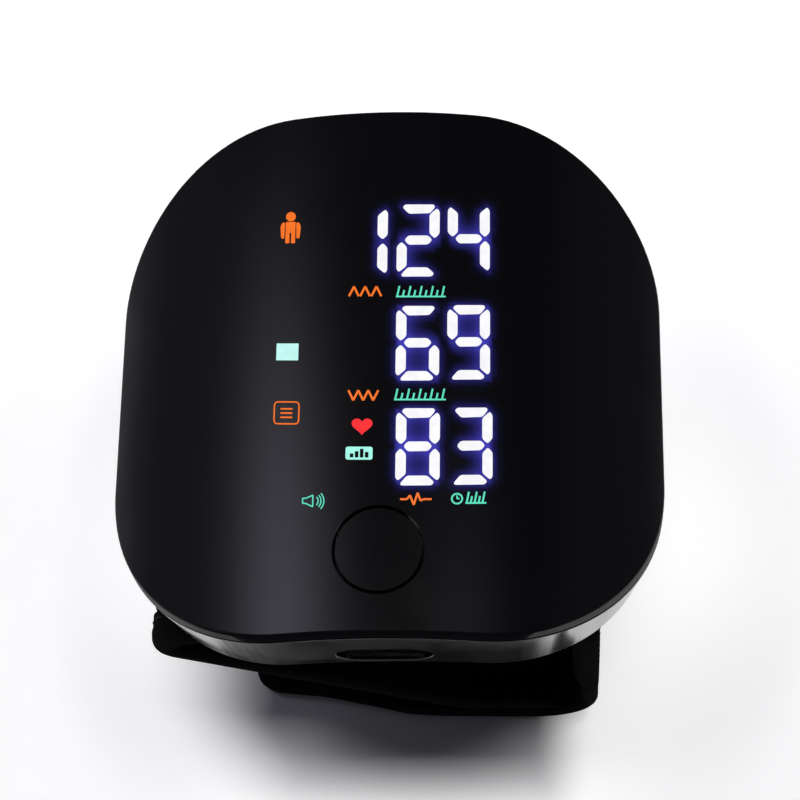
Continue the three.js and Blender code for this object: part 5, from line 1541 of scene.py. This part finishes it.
def lining_section(along):
    """The lining: a soft inside with fine creases across it, and a plain hidden side."""
    inner = []
    for y in cloth_across:
        soft = 0.25 * (1 - (y / 24) ** 4) if abs(y) < 24 else 0.0
        crease = 0.10 * math.sin(along * 1.9 + 0.8 * math.sin(y / 5.0)) * (1 - (y / CUFF_HALF) ** 2)
        inner.append((y, settle(along, CUFF_THICK - under_tape(y) + soft + 0.4 * crease)))
    return inner + [(y, settle(along, LINING_OUT)) for y in hidden_across]


cover = draw_along(loop_marks, cover_section, "cuff_outside", cuff_fabric, ["cuff_cover"])
lining = draw_along(loop_marks, lining_section, "cuff_inside", cuff_fabric, ["cuff_lining"])

# %% Edge tapes
TAPE_IN, TAPE_TURN, TAPE_THICK, TAPE_PROUD = 22.6, 25.6, 0.4, 0.1
TAPE_LIFT = (-0.1, 0.4)


def tape_lift(along, across):
    """How far a tape follows the puckers under it."""
    return limited(0.8 * pucker(along, across), *TAPE_LIFT)


def tape_section(side):
    """A tape folded over the edge: outside, round the edge, inside, and back along its own underside."""
    middle = CUFF_THICK / 2
    straight = [TAPE_IN + (TAPE_TURN - TAPE_IN) * i / 4 for i in range(5)]

    def path(radius):
        """The way round the edge, at a distance from the strap's middle."""
        points = [(y, middle - radius) for y in straight]
        for a in np.linspace(0.2, math.pi - 0.2, 11):
            points.append((TAPE_TURN + 0.95 * radius * math.sin(a), middle - radius * math.cos(a)))
        return points + [(y, middle + radius) for y in reversed(straight)]

    around = path(middle + TAPE_PROUD) + path(middle + TAPE_PROUD - TAPE_THICK)[::-1]

    def section(along):
        """The tape's loop at one place of the line."""
        loop = []
        for y, inset in around:
            lift = tape_lift(along, side * y) if inset < middle else 0.0
            loop.append((side * y, settle(along, inset - lift)))
        return loop if side < 0 else loop[::-1]

    return section


for side, edge in ((-1, "near"), (1, "far")):
    section = tape_section(side)
    draw_along(loop_marks, section, f"edge_tape_{edge}", edge_tape, [f"cuff_binding_{edge}"], sharp=50)

# %% [markdown]
# ## Flap
# The free end of the strap narrows to a rounded end. It runs along the table and up the right arm to one
# line across it, where the strap drawn along the rest of the line begins.

# %% Flap
EDGE_R, FLAP_TIP = 1.1, -1.5
HEM, HEM_SOFT = 3.6, 0.5
BAND_FROM = 3.4
FLAP_PLAN = [  # place on the table, half width
    (-22.0, 19.4), (-21.85, 20.5), (-21.5, 21.5), (-21.0, 22.2), (-20.1, 22.9), (-19.0, 23.35),
    (-17.0, 23.6), (-13.0, 23.95), (-11.0, 24.25), (-9.0, 24.7), (-5.0, 25.5), (-1.2, 26.4),
    (0.8, 26.65), (2.8, 26.8), (6.7, 26.9), (14.5, 27.0),
]


def flap_half_width(along):
    """Half the flap's width, read off its plan on the table; the strap above keeps its full width."""
    if along > flap_run:
        return CUFF_HALF
    return float(np.interp(cuff_at(along)[0], *zip(*FLAP_PLAN)))


def flap_section(along):
    """The flap's section: a thick hem all round, and a thinner, uneven field inside it."""
    half = flap_half_width(along)
    reach_in = along - FLAP_TIP
    r = EDGE_R * math.sqrt(max(0.02, 1 - (1 - min(reach_in, EDGE_R) / EDGE_R) ** 2))
    middle, flat = FLAP_THICK / 2, half - r
    band = smooth((reach_in - BAND_FROM) / HEM_SOFT) if reach_in < 6 else 1.0
    edge_angles = np.linspace(0.3, math.pi - 0.3, 7)
    loop = []
    for y in np.linspace(-1, 1, 41) * flat:
        dip = 0.16 * band * smooth((half - abs(y) - HEM) / HEM_SOFT)
        soft = ripple(along, y) * 0.6 * band if half - abs(y) > 4 else 0.0
        loop.append((y, middle - r + dip - min(soft, dip)))
    loop += [(flat + r * math.sin(a), middle - r * math.cos(a)) for a in edge_angles]
    for y in np.linspace(1, -1, 41) * flat:
        loop.append((y, middle + r - 0.1 * band * smooth((half - abs(y) - HEM) / HEM_SOFT)))
    loop += [(-flat - r * math.sin(a), middle + r * math.cos(a)) for a in edge_angles]
    return loop[::-1]


NOSE_MARKS = (0.02, 0.12, 0.3, 0.55, 0.8, 1.1, 1.5, 2.0, 2.5, 3.0, 3.4, 3.65, 3.9, 4.6)
flap_marks = [FLAP_TIP + mark for mark in NOSE_MARKS] + cuff_stations(4.0, HINGE_AT + 0.1, 1.6, 6.0)
flap = draw_along(flap_marks, flap_section, "flap_strap", cuff_fabric, ["cuff_flap"], body=None)
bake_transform(flap)

# %% [markdown]
# ## Stitches
# Each seam is a row of short thread bars that sink in at their ends. One bar is a small bent capsule; the
# rows run along the tapes of the strap and along the flap, inside and outside.

# %% Stitches
STITCH, STITCH_PITCH, THREAD, SUNK = 1.7, 2.5, 0.11, 0.07
TAPE_SEAM, FLAP_SEAM = 23.5, 2.6
STITCH_ANGLES = np.linspace(0, 2 * math.pi, 6)[:-1]


def stitch_bar(making, along, across, inset, lift):
    """One bar of thread along the strap; lift is -1 on the outside and 1 on the inside."""
    rings = []
    for t in np.arange(6) / 5:
        r = THREAD * (0.35 + 0.65 * math.sin(math.pi * (0.12 + 0.76 * t)))
        a = along + (t - 0.5) * STITCH
        at = cuff_at(a)
        centre = inset + lift * (THREAD * 0.9 * math.sin(math.pi * t) - SUNK)
        loop = [(across + r * math.cos(q), centre - r * math.sin(q)) for q in STITCH_ANGLES]
        cloth = [(a * MM, y * MM) for y, i in loop]
        rings.append(making.ring([on_cuff(at, y, i) for y, i in loop], cloth=cloth))
    making.closed_stack(rings[::-1])


tape_stitches = Making()
for n in range(int((CUFF_END - HINGE_AT - 4) / STITCH_PITCH)):
    along = HINGE_AT + 2 + STITCH_PITCH * n
    for y in (-TAPE_SEAM, TAPE_SEAM):
        stitch_bar(tape_stitches, along, y, settle(along, -TAPE_PROUD - tape_lift(along, y)), -1)
        stitch_bar(tape_stitches, along, y, settle(along, CUFF_THICK + TAPE_PROUD), 1)
dress(tape_stitches, "tape_stitches", thread_black)

flap_stitches = Making()
for n in range(int((HINGE_AT - 6) / STITCH_PITCH)):
    along = 5 + STITCH_PITCH * n
    for side in (-1, 1):
        y = side * (flap_half_width(along) - FLAP_SEAM)
        stitch_bar(flap_stitches, along, y, 0.0, -1)
        stitch_bar(flap_stitches, along, y, FLAP_THICK, 1)
flap_seam = dress(flap_stitches, "flap_stitches", thread_black, body=None)
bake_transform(flap_seam)

# %% [markdown]
# ## Fastener
# The flap carries a patch of small hooks, the tail a patch of loops. Seen close they are fields of tiny bent
# bristles and soft curls, so both are made from many short strands on a thin backing.

# %% Strands and backings
PATCH_HALF = 20.0
STRAND_ANGLES = (0, 2.1, 4.2)


def strand(making, along, across, base, points, thick, side):
    """A thin strand of three sides through (along, across, inset) steps from its foot."""
    rings = []
    for da, dy, di in points:
        a, ring, cloth = along + da, [], []
        for q in STRAND_ANGLES:
            y = across + dy + thick * math.cos(q)
            ring.append(on_cuff(cuff_at(a + thick * math.sin(q)), y, base + di))
            cloth.append((a * MM, y * MM))
        rings.append(making.ring(ring, cloth=cloth))
    making.stack(rings[::-side])


def backing(making, start, stop, top, bottom, side):
    """The flat strip that the strands stand on; side is 1 on the strap's inside and -1 on its outside."""
    loop = [(-PATCH_HALF, bottom), (-PATCH_HALF, top), (PATCH_HALF, top), (PATCH_HALF, bottom)]
    rings = []
    for along in cuff_stations(start, stop, 3.0):
        at = cuff_at(along)
        cloth = [(along * MM, y * MM) for y, i in loop]
        rings.append(making.ring([on_cuff(at, y, i) for y, i in loop], cloth=cloth))
    rings = rings[::-side]
    making.stack(rings)
    making.faces += [tuple(reversed(rings[0])), tuple(rings[-1])]


# %% Hooks and loops
HOOK_PITCH, HOOK_STRAY, HOOK_THICK = 1.35, 0.15, 0.1
LOOP_PITCH, LOOP_STRAY, LOOP_THICK = 1.2, 0.3, 0.09


def strayed(value, stray):
    """A value moved at random by at most stray."""
    return value + rng.uniform(-stray, stray)


hooks = Making()
backing(hooks, 3.0, 37.0, top=2.55, bottom=2.1, side=1)
for a in np.arange(3.8, 36.6, HOOK_PITCH):
    for y in np.arange(-19.2, 19.3, HOOK_PITCH):
        bend = rng.choice((-1, 1)) * 0.2
        hook = [(0, 0, 0), (0, 0, 0.5), (bend, 0, 0.75), (bend * 2, 0, 0.62)]
        strand(hooks, strayed(a, HOOK_STRAY), strayed(y, HOOK_STRAY), 2.5, hook, HOOK_THICK, side=1)
dress(hooks, "hook_patch", pile_black, body="flap", stands_for=["cuff_hook_patch"], sharp=40)

curls = Making()
backing(curls, CUFF_END - 24.0, CUFF_END - 0.4, top=-0.45, bottom=0.0, side=-1)
for a in np.arange(CUFF_END - 23.4, CUFF_END - 1.0, LOOP_PITCH):
    for y in np.arange(-19.3, 19.4, LOOP_PITCH):
        sway, tall = rng.uniform(-0.4, 0.4), rng.uniform(0.35, 0.5)
        curl = [(0, 0, 0), (0.1, sway * 0.5, -tall), (0.35, sway, -tall), (0.5, sway, 0)]
        strand(curls, strayed(a, LOOP_STRAY), strayed(y, LOOP_STRAY), -0.4, curl, LOOP_THICK, side=-1)
dress(curls, "loop_patch", pile_black, stands_for=["cuff_loop_patch"], sharp=40)
